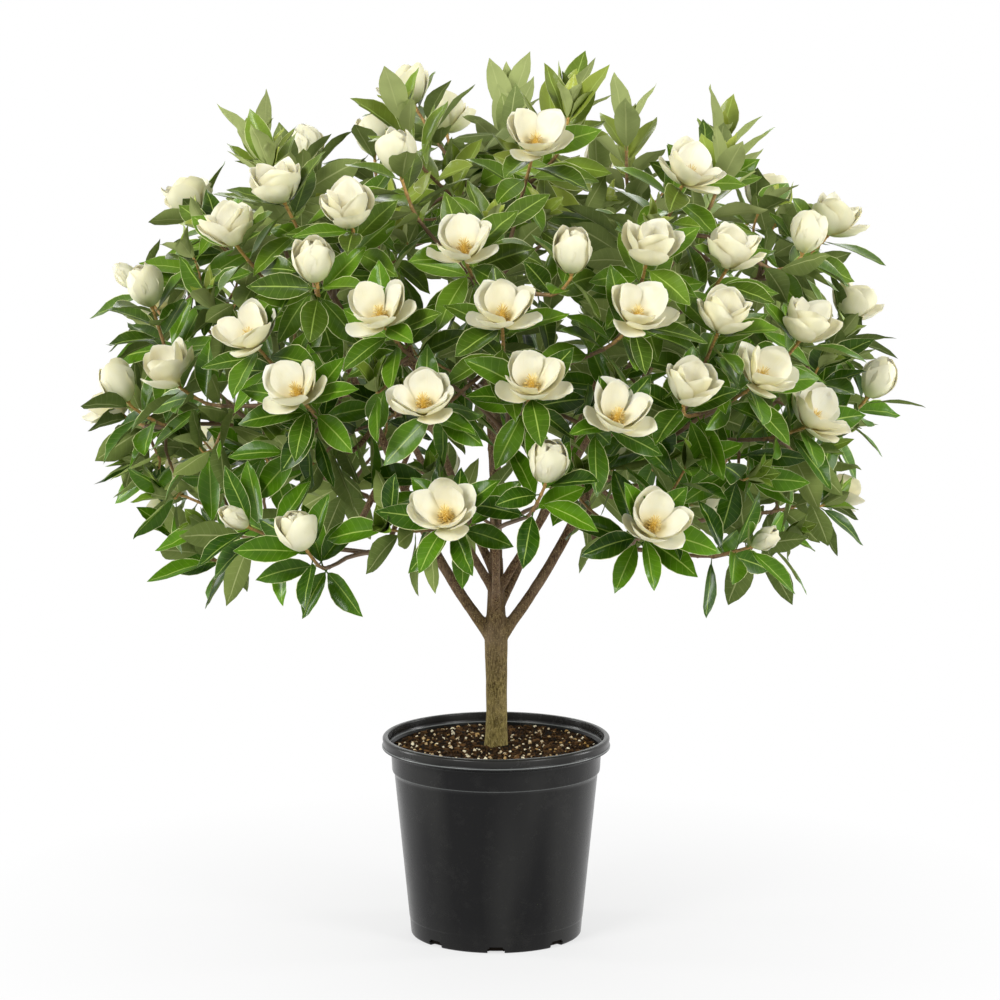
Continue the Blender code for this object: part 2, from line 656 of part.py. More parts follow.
def make_branch(key, shoots, own_flowers, collection, finish):
    """The twigs of one group, grown together, just clear of the limb that carries them."""
    tier, sector = key
    name = f"leafy_branch_{tier}_{sector}"
    pieces = [leafy_twig(f"{name}_{order}", shoot) for order, shoot in enumerate(shoots)]
    for shoot in shoots:
        if shoot.stage in FLOWER_SIZE and shoot not in own_flowers:
            flower = flower_mesh(shoot.stage, 2 * PLAIN_LOBES)
            flower.transform(flower_place(shoot) @ Matrix.Translation((0.0, 0.0, -FLOWER_ROOT)))
            pieces.append(flower)
    joined(name, pieces, collection, finish)


def flower_mesh(stage, sides):
    """A lobed cup from a sphere: its lower rings are the outside and its upper ones the inside."""
    radius, height = FLOWER_SIZE[stage]
    rings = FLOWER_RINGS[stage]
    shape = bmesh.new()
    bmesh.ops.create_uvsphere(shape, u_segments=sides, v_segments=len(rings) + 1, radius=1.0)
    levels = sorted({round(vert.co.z, 4) for vert in shape.verts})
    for vert in shape.verts:
        level = levels.index(round(vert.co.z, 4))
        angle = math.atan2(vert.co.y, vert.co.x)
        if level == 0:
            share, rise = 0.0, 0.0
        elif level > len(rings):
            share, rise = 0.0, FLOWER_HEART[stage]
        else:
            share, rise = rings[level - 1]
        lobe = 1 + (LOBE_DEPTH[stage] * math.cos(sides / 2 * angle) if level in (2, 3) else 0.0)
        reach = share * radius * lobe
        vert.co = (reach * math.cos(angle), reach * math.sin(angle), rise * height * lobe)
    bmesh.ops.recalc_face_normals(shape, faces=shape.faces)
    mesh = bpy.data.meshes.new(f"flower_{stage}")
    shape.to_mesh(mesh)
    shape.free()
    mesh.shade_smooth()
    return mesh


def grow_tree():
    """The whole layout: flowers and wood stand first, then twigs and leaves find room."""
    shoots = all_shoots()
    groups = grouped(shoots)
    feet = {key: branch_foot(members) for key, members in groups.items()}
    limbs = grow_limbs(feet)
    room = Room()
    for shoot in shoots:
        if shoot.stage != "leaf":
            room.add(flower_outline(shoot, FLOWER_CLEAR), "flower", shoot.index)
    for path, radii in limbs:
        room.add(tube(path, [radius * LIMB_OWN for radius in radii], 6), "limb")
    grow_twigs(groups, feet, room)
    grow_leaves(groups, room)
    return shoots, groups, limbs


def main():
    for old in list(bpy.data.objects):
        bpy.data.objects.remove(old)
    tree = bpy.data.collections.new("potted_sweetbay_magnolia")
    cutters = bpy.data.collections.new("cutters")
    for collection in (tree, cutters):
        bpy.context.scene.collection.children.link(collection)

    black_plastic = material("black_polyethylene", (0.012, 0.012, 0.013), 0.42)
    mix = material("potting_mix", (0.035, 0.020, 0.012), 0.95)
    bark = material("bark", (0.135, 0.105, 0.065), 0.80)
    leaf_green = material("leaf", (0.045, 0.130, 0.030), 0.38)
    cream = material("tepal", (0.86, 0.82, 0.64), 0.50)

    shoots, groups, limbs = grow_tree()
    own_flowers = [shoot for shoot in shoots if shoot.stage in FLOWER_SIZE][:FLOWER_NODES]
    make_pot(tree, cutters, black_plastic)
    make_soil(tree, mix)
    make_wood(limbs, tree, bark)
    for key, members in groups.items():
        make_branch(key, members, own_flowers, tree, leaf_green)

    meshes = {stage: flower_mesh(stage, 2 * LOBES) for stage in FLOWER_SIZE}
    for number, shoot in enumerate(own_flowers, start=1):
        flower = add_object(f"flower_{number:02d}", meshes[shoot.stage], tree, cream)
        flower.matrix_world = flower_place(shoot)


if __name__ == "__main__":
    main()
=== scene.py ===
"""Potted sweetbay magnolia in full flower: the visible surfaces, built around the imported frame.

Metres, +Z up, -Y is the front. The sections follow the plant as it is put together: pot,
potting mix, wood, twigs, leaves and flowers, and last the studio that it stands in.
"""

import math
import random
from functools import partial

import bmesh
import bpy
from mathutils import Matrix, Vector, noise
from mathutils.bvhtree import BVHTree


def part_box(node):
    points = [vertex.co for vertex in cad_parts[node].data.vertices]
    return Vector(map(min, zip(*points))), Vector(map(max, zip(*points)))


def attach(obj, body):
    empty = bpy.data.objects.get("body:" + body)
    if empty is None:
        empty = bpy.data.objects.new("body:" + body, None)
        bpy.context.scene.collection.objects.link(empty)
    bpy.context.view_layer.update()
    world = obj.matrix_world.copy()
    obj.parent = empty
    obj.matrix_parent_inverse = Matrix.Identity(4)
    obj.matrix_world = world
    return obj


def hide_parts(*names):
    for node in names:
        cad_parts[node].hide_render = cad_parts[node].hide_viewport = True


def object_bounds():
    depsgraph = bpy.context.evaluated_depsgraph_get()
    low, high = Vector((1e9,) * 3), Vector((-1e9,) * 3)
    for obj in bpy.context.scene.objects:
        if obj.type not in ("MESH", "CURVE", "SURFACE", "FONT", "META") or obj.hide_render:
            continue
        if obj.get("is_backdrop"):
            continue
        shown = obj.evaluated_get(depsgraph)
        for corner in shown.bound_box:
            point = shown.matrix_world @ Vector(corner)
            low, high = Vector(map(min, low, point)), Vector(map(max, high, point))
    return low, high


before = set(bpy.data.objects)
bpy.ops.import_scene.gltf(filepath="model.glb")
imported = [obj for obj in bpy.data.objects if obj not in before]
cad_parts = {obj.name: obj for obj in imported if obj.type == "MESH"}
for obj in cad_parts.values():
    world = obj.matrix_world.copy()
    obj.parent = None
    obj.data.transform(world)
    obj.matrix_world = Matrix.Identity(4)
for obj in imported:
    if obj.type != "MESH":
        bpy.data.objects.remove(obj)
for startup in [bpy.data.objects.get(name) for name in ("Cube", "Light", "Camera")]:
    if startup:
        bpy.data.objects.remove(startup)
cad_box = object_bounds()


# ================================================================== the nursery pot
# A round nursery pot, blow-moulded in one piece from black polyethylene. Its rim is rolled
# outward to stiffen it, a plain band and a ledge come under the rim, and eight notches in
# the foot let water out. It stands on the floor by its own weight.

POT_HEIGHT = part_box("nursery_pot")[1].z
RIM_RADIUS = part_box("nursery_pot")[1].x
MOUTH_RADIUS = 0.1655
RIM_DEPTH = 0.0175
BEAD_FOOT = POT_HEIGHT - RIM_DEPTH
BEAD_HEIGHT, BEAD_DEPTH, BEAD_ROUND = 0.0028, 0.0017, 0.0009  # the bead round the rim's foot
BAND_RADIUS = 0.1612
BAND_TAPER = 0.0017
BAND_TOP = 0.2885
LEDGE_TOP, LEDGE_FOOT, LEDGE_RADIUS = 0.257, 0.252, 0.156
FOOT_RADIUS = 0.133
HEEL_HEIGHT = 0.026
HEEL_STEP = 0.0006
POT_WALL, POT_FLOOR = 0.0025, 0.003
POT_SIDES, ROUND_STEPS = 160, 4
DRAIN_NOTCHES = 8
DRAIN_WIDTH, DRAIN_HEIGHT, DRAIN_REACH, DRAIN_INSET = 0.026, 0.010, 0.030, 0.004
DRAIN_ROUND = 0.0028
SATIN_SHINE = 0.22
MOST_ROUND = 0.49  # of the stretch beside a corner, which its round may take up
EDGE_HIGHLIGHT_REACH = 0.0011  # how far from an edge its painted highlight line reaches
SMOOTH_BELOW = math.radians(38)  # a sharper corner than this stays an edge


def linear(code):
    """An sRGB hex colour as the linear colour that a socket takes."""
    shares = [int(code[i : i + 2], 16) / 255 for i in (1, 3, 5)]
    return (*[s / 12.92 if s < 0.04045 else ((s + 0.055) / 1.055) ** 2.4 for s in shares], 1.0)


def connect(node, *values, **named):
    """Gives a node its settings by their lower-case names, and its inputs in order or by name.
    An input takes a number, a colour code, a socket, or a node for its first live output."""
    for name in [name for name in named if name[0].islower()]:
        setattr(node, name, named.pop(name))
    live = [socket for socket in node.inputs if socket.enabled]
    places = {socket.name.replace(" ", "_"): socket for socket in reversed(live)}
    for socket, value in [*zip(live, values), *((places[name], named[name]) for name in named)]:
        if isinstance(value, bpy.types.Node):
            value = next(output for output in value.outputs if output.enabled)
        if isinstance(value, bpy.types.NodeSocket):
            node.id_data.links.new(value, socket)
        else:
            is_code = isinstance(value, str) and value.startswith("#")
            socket.default_value = linear(value) if is_code else value
    return node


def add_node(tree, kind, *values, **named):
    """A node with its settings and its links. A kind with no "Node" in its name is a shader's."""
    node = tree.nodes.new(kind if "Node" in kind else "ShaderNode" + kind)
    return connect(node, *values, **named)


def new_material(name, **constants):
    """A material, what adds nodes to it, and its Principled shader with these constants."""
    made = bpy.data.materials.new(name)
    made.use_nodes = True
    shader = connect(made.node_tree.nodes["Principled BSDF"], **constants)
    return made, partial(add_node, made.node_tree), shader


def new_piece(name, mesh, *finishes):
    """A piece at the origin, with its place in its mesh."""
    made = bpy.data.objects.new(name, mesh)
    bpy.context.scene.collection.objects.link(made)
    for finish in finishes:
        mesh.materials.append(finish)
    return made


def apply_modifiers(piece):
    """Turns what a piece's modifiers make into its own plain mesh."""
    graph = bpy.context.evaluated_depsgraph_get()
    mesh = bpy.data.meshes.new_from_object(piece.evaluated_get(graph))
    piece.modifiers.clear()
    piece.data = mesh
    mesh.name = piece.name


def mark(mesh, label, kind, values, domain="POINT"):
    """Gives a mesh an attribute, from one flat list of its numbers."""
    prop = "vector" if kind == "FLOAT_VECTOR" else "value"
    mesh.attributes.new(label, kind, domain).data.foreach_set(prop, values)


def mesh_from(name, points, faces=()):
    mesh = bpy.data.meshes.new(name)
    mesh.from_pydata(points, [], faces)
    return mesh


def finished(name, shape):
    """The mesh of a shape that is done, and is let go."""
    mesh = bpy.data.meshes.new(name)
    shape.to_mesh(mesh)
    shape.free()
    return mesh


def rounded_bend(start, corner, end, steps):
    """Points of a curve from start to end that bends at a corner."""
    shares = [step / steps for step in range(steps + 1)]
    return [start * (1 - t) ** 2 + corner * 2 * t * (1 - t) + end * t * t for t in shares]


def rounded(corners):
    """An outline of (radius, height), from corners of (radius, height, size of the round)."""
    outline = []
    for index, (radius, height, size) in enumerate(corners):
        corner = Vector((radius, height))
        if not size:
            outline.append(corner)
            continue
        sides = [Vector(corners[index + step][:2]) - corner for step in (-1, 1)]
        reach = min(size, *(MOST_ROUND * side.length for side in sides))
        start, end = [corner + side.normalized() * reach for side in sides]
        outline += rounded_bend(start, corner, end, ROUND_STEPS)
    return outline


def ring_faces(last, sides):
    """Quads between rings of so many points, up to the ring that starts at point last."""
    return [
        (low + k, low + (k + 1) % sides, low + sides + (k + 1) % sides, low + sides + k)
        for low in range(0, last, sides)
        for k in range(sides)
    ]


def turned(name, outline, sides):
    """A closed turned mesh, from an outline that starts and ends on the axis and runs up the
    outside."""
    angles = [math.tau * side / sides for side in range(sides)]
    points = [
        (radius * math.cos(angle), radius * math.sin(angle), height)
        for radius, height in outline[1:-1]
        for angle in angles
    ]
    foot, top, last = len(points), len(points) + 1, len(points) - sides
    faces = [(foot, (side + 1) % sides, side) for side in range(sides)]
    faces += ring_faces(last, sides)
    faces += [(last + side, last + (side + 1) % sides, top) for side in range(sides)]
    return mesh_from(name, [*points, (0.0, 0.0, outline[0][1]), (0.0, 0.0, outline[-1][1])], faces)


def pot_outline():
    """The shell: up the outside from the foot, over the rim and down the inside. Each corner
    has a radius, a height and the size of its round."""
    heel = FOOT_RADIUS + HEEL_STEP
    return rounded([
        (0.0, 0.0, 0),
        (FOOT_RADIUS - 0.002, 0.0, 0.004),
        (FOOT_RADIUS, HEEL_HEIGHT, 0.001),
        (heel, HEEL_HEIGHT + 0.0012, 0.0006),
        (LEDGE_RADIUS, LEDGE_FOOT, 0.003),
        (BAND_RADIUS - BAND_TAPER, LEDGE_TOP, 0.0016),
        (BAND_RADIUS, BAND_TOP, 0.004),
        (RIM_RADIUS, BEAD_FOOT, BEAD_ROUND),
        (RIM_RADIUS, BEAD_FOOT + BEAD_HEIGHT, BEAD_ROUND),
        (RIM_RADIUS - BEAD_DEPTH, BEAD_FOOT + BEAD_HEIGHT + BEAD_DEPTH, BEAD_ROUND),
        (RIM_RADIUS - 0.0006, POT_HEIGHT - 0.003, 0.003),
        (RIM_RADIUS - 0.0040, POT_HEIGHT, 0.0022),
        (MOUTH_RADIUS, POT_HEIGHT - 0.0006, 0.002),
        (MOUTH_RADIUS - 0.0006, POT_HEIGHT - RIM_DEPTH + 0.004, 0.003),
        (BAND_RADIUS - POT_WALL, BAND_TOP, 0.003),
        (BAND_RADIUS - BAND_TAPER - POT_WALL, LEDGE_TOP, 0.002),
        (LEDGE_RADIUS - POT_WALL, LEDGE_FOOT, 0.002),
        (FOOT_RADIUS - POT_WALL - POT_FLOOR, POT_FLOOR, 0.002),
        (0.0, POT_FLOOR, 0),
    ])


def notch_cutter():
    """Blocks with rounded corners, one for each drainage notch."""
    shape = bmesh.new()
    for number in range(DRAIN_NOTCHES):
        turn = Matrix.Rotation(math.tau * number / DRAIN_NOTCHES, 4, "Z")
        place = turn @ Matrix.Translation((0.0, DRAIN_INSET - FOOT_RADIUS, 0.0))
        size = Matrix.Diagonal((DRAIN_WIDTH, DRAIN_REACH, 2 * DRAIN_HEIGHT, 1.0))
        bmesh.ops.create_cube(shape, size=1.0, matrix=place @ size)
    bmesh.ops.bevel(shape, geom=shape.edges[:], offset=DRAIN_ROUND, segments=3, affect="EDGES")
    return new_piece("notch_cutter", finished("notch_cutter", shape))


def moulded_polyethylene():
    """Blow-moulded black polyethylene: satin, with a fine grain and a slightly wavy wall that breaks
    its highlights into broad soft bands. Broad upright bands of paler black are painted on as painted
    reflections. The rim, and thin lines along the rim, the bead and the ledge, are painted paler as
    painted highlights."""
    finish, add, shader = new_material(
        "moulded_black_polyethylene", IOR=1.5, Specular_IOR_Level=SATIN_SHINE
    )
    place = add("TexCoord").outputs["Object"]
    height = add("SeparateXYZ", place).outputs["Z"]
    # The mould's grain is about 0.4 mm and is drawn at 1.4 mm: it is too fine to show.
    grain = add("TexNoise", Vector=place, Scale=700.0, Detail=2.0)
    wall = add("TexNoise", Vector=place, Scale=14.0, Detail=1.0)
    scuffs = add("TexNoise", Vector=place, Scale=42.0, Detail=8.0, Roughness=0.7)
    # Broad upright streaks of a paler black are painted on the wall: painted reflection bands that
    # stand for soft vertical highlights.
    upright = add("Mapping", place, Scale=(13.0, 13.0, 2.5))
    dull = add("MapRange", add("TexNoise", Vector=upright, Scale=1.0, Detail=1.0), 0.42, 0.66)
    dusty = add("MapRange", scuffs, 0.52, 0.80)
    low = add("MapRange", height, 0.05, 0.0)
    # The rim's top band is painted paler: a painted highlight, added to the dust from scuffs and at
    # the foot.
    rim = add("MapRange", height, POT_HEIGHT - RIM_DEPTH, POT_HEIGHT - 0.004)
    dust_and_rim_highlight = add("Math", dusty, 0.20, operation="MULTIPLY")
    for where, share in ((low, 0.10), (rim, 0.30)):
        dust_and_rim_highlight = add("Math", where, share, dust_and_rim_highlight, operation="MULTIPLY_ADD")
    # Over the black go the painted reflection bands, then the dust with the rim's painted highlight.
    over = [(dull, "#1e1e1d"), (dust_and_rim_highlight, "#3c3b38")]
    # Thin pale grey lines are painted along the edges of the rim, the bead and the ledge: painted
    # highlights.
    for edge, share in ((POT_HEIGHT, 0.22), (BEAD_FOOT + BEAD_HEIGHT, 0.42), (LEDGE_TOP, 0.20)):
        off = add("Math", add("Math", height, edge, operation="SUBTRACT"), operation="ABSOLUTE")
        over.append((add("MapRange", off, EDGE_HIGHLIGHT_REACH, 0.3 * EDGE_HIGHLIGHT_REACH, 0.0, share), "#a3a7a6"))
    colour = "#070708"
    for factor, paint in over:
        colour = add("Mix", factor, colour, paint, data_type="RGBA")
    bumps = add("Bump", Height=wall, Strength=0.35, Distance=0.0016)
    bumps = add("Bump", Height=grain, Normal=bumps, Strength=0.25, Distance=0.00012)
    rough = add("MapRange", scuffs, 0.3, 0.75, 0.20, 0.32)
    connect(shader, Base_Color=colour, Roughness=rough, Normal=bumps)
    return finish


pot = new_piece("pot_shell", turned("pot_shell", pot_outline(), POT_SIDES), moulded_polyethylene())
cutter = notch_cutter()
cut = pot.modifiers.new("Notches", "BOOLEAN")
cut.operation, cut.object = "DIFFERENCE", cutter
apply_modifiers(pot)
bpy.data.objects.remove(cutter)
pot.data.shade_smooth()
pot.data.set_sharp_from_angle(angle=SMOOTH_BELOW)
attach(pot, "root")
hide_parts("nursery_pot")


# ================================================================== the potting mix
# Composted pine bark and peat with white perlite, poured in and watered down, so that it lies
# a finger's breadth below the rim and heaps a little round the trunk. It fills the pot.

GAP = 0.0003  # between things that rest on each other
MIX_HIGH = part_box("potting_mix")[1]
MIX_RISE = 0.003
MIX_TOP = MIX_HIGH.z - MIX_RISE
MIX_EDGE = MIX_HIGH.x
MIX_RINGS, MIX_SIDES = 44, 150
LOOSE_FROM, LOOSE_TO = 0.021, 0.150  # the ring in which loose pieces lie
CLODS = ((55.0, 0.0024), (170.0, 0.0012))  # lumps to the metre, and how high they stand
INSIDE = 0.00001  # how far inside the mix's top edge a clod starts
LUMP_BREAKS = 3.1  # how finely a loose piece's outline is broken
TINT_SEED = 7


def mix_body():
    """The whole body of mix, with a lumpy top."""
    outline = [
        (0.0, POT_FLOOR + GAP),
        (FOOT_RADIUS - POT_WALL - POT_FLOOR - GAP, POT_FLOOR + GAP),
        (LEDGE_RADIUS - POT_WALL - GAP, LEDGE_FOOT),
        (BAND_RADIUS - BAND_TAPER - POT_WALL - GAP, LEDGE_TOP),
    ]
    for ring in range(MIX_RINGS, -1, -1):
        outline.append((MIX_EDGE * ring / MIX_RINGS, MIX_TOP + MIX_RISE * (1 - ring / MIX_RINGS)))
    mesh = turned("mix_body", outline, MIX_SIDES)
    for vert in mesh.vertices:
        inside = vert.co.z > MIX_TOP - INSIDE and vert.co.xy.length < MIX_EDGE - INSIDE
        for scale, height in CLODS if inside else ():
            vert.co.z += height * noise.noise(vert.co * scale)
    mesh.shade_smooth()
    return mesh


def loose_ring():
    """The part of the top on which chips, crumbs and grains lie."""
    shape = bmesh.new()
    shape.from_mesh(mix.data)
    off = []
    for face in shape.faces:
        middle = face.calc_center_median()
        if middle.z < MIX_TOP - MIX_RISE or not LOOSE_FROM < middle.xy.length < LOOSE_TO:
            off.append(face)
    bmesh.ops.delete(shape, geom=off, context="FACES")
    return finished("loose_ring", shape)


def lump(name, stretch, roughness, detail, seed):
    """A broken grain or chip about one unit long, with flat faces."""
    shape = bmesh.new()
    bmesh.ops.create_icosphere(shape, subdivisions=detail, radius=0.5)
    for vert in shape.verts:
        vert.co *= 1 + roughness * noise.noise(vert.co * LUMP_BREAKS + Vector((seed, 0, 0)))
        vert.co = Vector(a * b for a, b in zip(vert.co, stretch))
    return new_piece(name, finished(name, shape))


def new_geometry_tree(name, **sockets):
    """An empty geometry tree with these named inputs, what adds nodes to it, and its ends."""
    tree = bpy.data.node_groups.new(name, "GeometryNodeTree")
    tree.interface.new_socket("Geometry", in_out="INPUT", socket_type="NodeSocketGeometry")
    for label, kind in sockets.items():
        tree.interface.new_socket(label, in_out="INPUT", socket_type="NodeSocket" + kind)
    tree.interface.new_socket("Geometry", in_out="OUTPUT", socket_type="NodeSocketGeometry")
    add = partial(add_node, tree)
    return tree, add, add("NodeGroupInput").outputs, add("NodeGroupOutput")


def grown(name, base, tree, inputs):
    """The piece that a geometry tree makes from a base mesh, as a plain mesh."""
    piece = new_piece(name, base)
    modifier = piece.modifiers.new("Grow", "NODES")
    modifier.node_group = tree
    for socket in tree.interface.items_tree:
        if socket.in_out == "INPUT" and socket.name in inputs:
            modifier[socket.identifier] = inputs[socket.name]
    apply_modifiers(piece)
    return piece


def scatter_tree():
    """Loose pieces strewn on a surface: spaced apart, turned and tilted at random."""
    tree, add, given, end = new_geometry_tree(
        "strewn pieces", Piece="Object", Spacing="Float", Density="Float", Smallest="Float",
        Largest="Float", Tilt="Float", Seed="Int", Finish="Material",
    )
    points = add(
        "GeometryNodeDistributePointsOnFaces", Mesh=given["Geometry"], Distance_Min=given["Spacing"],
        Density_Max=given["Density"], Seed=given["Seed"], distribute_method="POISSON",
    )
    low = add("Math", given["Tilt"], -1.0, operation="MULTIPLY")
    least = add("CombineXYZ", low, low)
    most = add("CombineXYZ", given["Tilt"], given["Tilt"], math.tau)
    chance = partial(add, "FunctionNodeRandomValue")
    size = chance(
        Min=given["Smallest"], Max=given["Largest"], Seed=given["Seed"], data_type="FLOAT"
    )
    strewn = add(
        "GeometryNodeInstanceOnPoints", Points=points, Scale=size,
        Instance=add("GeometryNodeObjectInfo", given["Piece"]).outputs["Geometry"],
        Rotation=chance(Min=least, Max=most, Seed=given["Seed"], data_type="FLOAT_VECTOR"),
    )
    tint = chance(Min=0.0, Max=1.0, Seed=TINT_SEED, data_type="FLOAT")
    strewn = add(
        "GeometryNodeStoreNamedAttribute", Geometry=strewn, Name="tint", Value=tint,
        data_type="FLOAT", domain="INSTANCE",
    )
    solid = add("GeometryNodeRealizeInstances", strewn)
    connect(end, add("GeometryNodeSetMaterial", Geometry=solid, Material=given["Finish"]))
    return tree


def composted(name, dark, pale, roughness):
    """Composted bark, peat or perlite: dull and open, each piece of a shade of its own."""
    finish, add, shader = new_material(name, Roughness=roughness, Specular_IOR_Level=0.10)
    place = add("TexCoord").outputs["Object"]
    tint = add("Attribute", attribute_name="tint").outputs["Fac"]
    # Fibres and pores of about 1.5 mm.
    pores = add("TexNoise", Vector=place, Scale=650.0, Detail=4.0)
    share = add("Math", pores, 0.6, -0.3, operation="MULTIPLY_ADD")
    share = add("Math", share, tint, operation="ADD", use_clamp=True)
    colour = add("Mix", share, dark, pale, data_type="RGBA")
    bumps = add("Bump", Height=pores, Strength=0.6, Distance=0.0005)
    connect(shader, Base_Color=colour, Normal=bumps)
    return finish


mix_finish = composted("damp_peat_and_bark_fines", "#100a04", "#2c1f12", 0.95)
mix = new_piece("mix_body", mix_body(), mix_finish)
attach(mix, "root")
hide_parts("potting_mix")

# For each kind: its shape's stretch, roughness, detail and seed; its material, dark and pale
# colours and roughness; and its spacing, number to the square metre, least and greatest
# length, and how far it may tilt.
LOOSE_KINDS = {
    "peat_crumbs": (
        ((1.0, 0.8, 0.6), 0.5, 1, 3), ("peat_crumb", "#150c05", "#49341e", 0.95),
        (0.0030, 60000.0, 0.0025, 0.0060, 1.5),
    ),
    "bark_chips": (
        ((1.0, 0.62, 0.26), 0.9, 2, 11), ("composted_pine_bark", "#1c1209", "#674a2b", 0.85),
        (0.0080, 11000.0, 0.006, 0.015, 0.6),
    ),
    "perlite_grains": (
        ((1.0, 0.85, 0.8), 0.5, 2, 5), ("expanded_perlite", "#b08a4c", "#f6edcf", 0.8),
        (0.0085, 4600.0, 0.0024, 0.0078, 1.5),
    ),
}
strew = scatter_tree()
for seed, (kind, (form, paint, sizes)) in enumerate(LOOSE_KINDS.items(), start=1):
    shape = lump(f"{kind}_shape", *form)
    strewn = dict(zip(("Spacing", "Density", "Smallest", "Largest", "Tilt"), sizes))
    strewn |= {"Piece": shape, "Finish": composted(*paint), "Seed": seed}
    loose = grown(kind, loose_ring(), strew, strewn)
    bpy.data.objects.remove(shape)
    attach(loose, "root")


# ================================================================== the trunk and the limbs
# One short trunk that forks into a leader and eight limbs, grown together. Young magnolia bark
# is smooth and thin: olive on the trunk, where it has begun to crack, and brown on the limbs.
# The trunk stands in the mix, and the layout of the whole crown starts here.

TRUNK_FOOT = 0.262
COLLAR_TOP = MIX_TOP + 0.004
COLLAR_RADIUS = 0.0182
TRUNK_SET = Vector((0.001, 0.0, 0.350))
TRUNK_RADIUS = 0.0162
FORK_HEIGHT = 0.455
LEADER_SUNK = 0.020
LEADER_RADIUS = 0.0118
SIDE_LIMB_RADIUS = 0.0105
LIMB_RADIUS = 0.0078
LIMB_END_RADIUS = 0.0040
LIMB_OUT, LIMB_UP = 0.62, 0.78
LIMB_FIRST, LIMB_RISE = 0.045, 0.030
SIDE_BRANCH_SHARE = 0.66
SIDE_BRANCH_OUT = 0.5
SIDE_BRANCH_POINTS = (3, 2)  # of its limb, where it leaves, from the higher branch down
LIMB_STEPS, SIDE_BRANCH_STEPS, LEADER_STEPS = 4, 3, 5
TRUNK_STEPS, FORK_STEPS = 4, 2
ARC_PULL = 0.4
STUB = 0.006
FINER = 7  # how many times more points a drawn limb has than a planned one
WOOD_SIDES = 18
WOOD_VOXEL = 0.0021
COLLAR_SWELL, COLLAR_FADE = 0.42, 0.022  # a limb is this much thicker where it leaves its parent
LIMB_SLIMNESS = 0.17  # and then this much thinner than planned, less and less towards its end
FORK_SWELL, FORK_FADE = 0.09, 0.045
FORK_RUN = 0.130  # over which the trunk narrows into the leader
LEADER_START = 0.9  # of the leader's radius, which the trunk narrows to
RIDGES, RIDGE_RUN, BARK_LUMPS = 190, 34, 42  # to the metre: across the trunk, up it, and lumps
RIDGE_RISE, FOOT_RIDGE_RISE, BARK_LUMP_RISE = 0.00018, 0.00050, 0.0005
RIDGES_FADE = 0.32  # the height over which the trunk's ridges fade

CROWN_CENTRE = 0.80
CROWN_RADIUS = 0.565
CROWN_RISE = 0.475
CROWN_DROP = 0.27
CROWN_SQUARENESS = 2.5
CROWN_HEART = Vector((0.0, 0.0, 0.60))
SECTORS = 8
LOW_BELOW, HIGH_ABOVE = 0.80, 1.02
TOP_ABOVE, TOP_RADIUS = 1.18, 0.27
TWIG_REACH = 0.185
TWIG_REACH_SHARE = 0.6
HEAD_LENGTH = 0.050
BRANCH_LIFT = 0.15
GOLDEN_ANGLE = math.radians(137.508)
MILLIMETRE = 0.001
UP, DOWN = Vector((0.0, 0.0, 1.0)), Vector((0.0, 0.0, -1.0))

# Shoots that end in a flower, or in leaves alone: the way that they face, in degrees to the
# right of the front, the height of their tip in millimetres, and what they carry.
FRONT_SHOOTS = (
    (10, 1228, "open"), (-21, 1198, "cup"), (42, 1180, "open"), (-44, 1155, "half"),
    (-26, 1130, "half"), (-5, 1095, "open"), (-49, 1095, "half"), (25, 1082, "half"),
    (12, 1072, "cup"), (62, 1075, "cup"), (40, 1068, "half"), (-29, 1055, "cup"),
    (1, 1008, "open"), (21, 1003, "open"), (-17, 1005, "open"), (-68, 993, "cup"),
    (35, 985, "half"), (-38, 965, "open"), (52, 960, "half"), (5, 915, "open"),
    (41, 908, "open"), (-29, 896, "open"), (28, 893, "half"), (-54, 895, "half"),
    (-10, 889, "open"), (17, 868, "open"), (77, 850, "cup"), (-74, 847, "cup"),
    (52, 838, "open"), (7, 792, "cup"), (-7, 735, "open"), (23, 713, "open"),
    (-40, 705, "bud"), (-30, 682, "cup"), (44, 670, "bud"),
)
TOP_SHOOTS = (
    (-46, 1262, "leaf"), (36, 1264, "leaf"), (-60, 1196, "leaf"), (58, 1190, "leaf"),
    (175, 1258, "leaf"), (110, 1205, "leaf"), (-105, 1200, "leaf"), (80, 1272, "leaf"),
    (-110, 1270, "half"),
)
BACK_SHOOTS = (
    (-167, 1210, "open"), (-152, 1172, "cup"), (-137, 1160, "cup"), (159, 1130, "cup"),
    (-109, 1095, "half"), (123, 1092, "half"), (104, 936, "half"), (102, 660, "open"),
    (-108, 657, "open"),
)
# The rest of the back is filled by a rule: points spiral up the crown, and each is kept
# where it is this far from the shoots that are already there.
FILL_POINTS = 120
FILL_SPACING = 0.150
FILL_BEHIND = math.radians(80)
FILL_FROM = CROWN_CENTRE - 0.72 * CROWN_DROP
FILL_TO = CROWN_CENTRE + 0.97 * CROWN_RISE
FILL_STAGES = ("open", "leaf", "cup", "half", "leaf", "open", "bud")
FLOWER_LEAN = {"open": 50, "half": 32, "cup": 18, "bud": 42, "leaf": 12}
LOW_LEAN = 28


class Shoot:
    """The end of a twig: where it ends, the way it points, and what it carries."""

    def __init__(self, azimuth, height, stage, index):
        self.azimuth, self.stage, self.index = azimuth, stage, index
        self.tip = level_way(azimuth) * crown_radius(height) + UP * height
        lowness = (HIGH_ABOVE - height) / (HIGH_ABOVE - CROWN_CENTRE + CROWN_DROP)
        self.lean_out(math.radians(FLOWER_LEAN[stage] + LOW_LEAN * max(0.0, lowness)))
        self.path, self.leaves = [], []

    def lean_out(self, lean):
        out = level_way(self.azimuth)
        self.axis = (out * math.sin(lean) + UP * math.cos(lean)).normalized()


def level_way(azimuth):
    """The level way out from the trunk at an angle, counted to the right of the front."""
    return Vector((math.sin(azimuth), -math.cos(azimuth), 0.0))


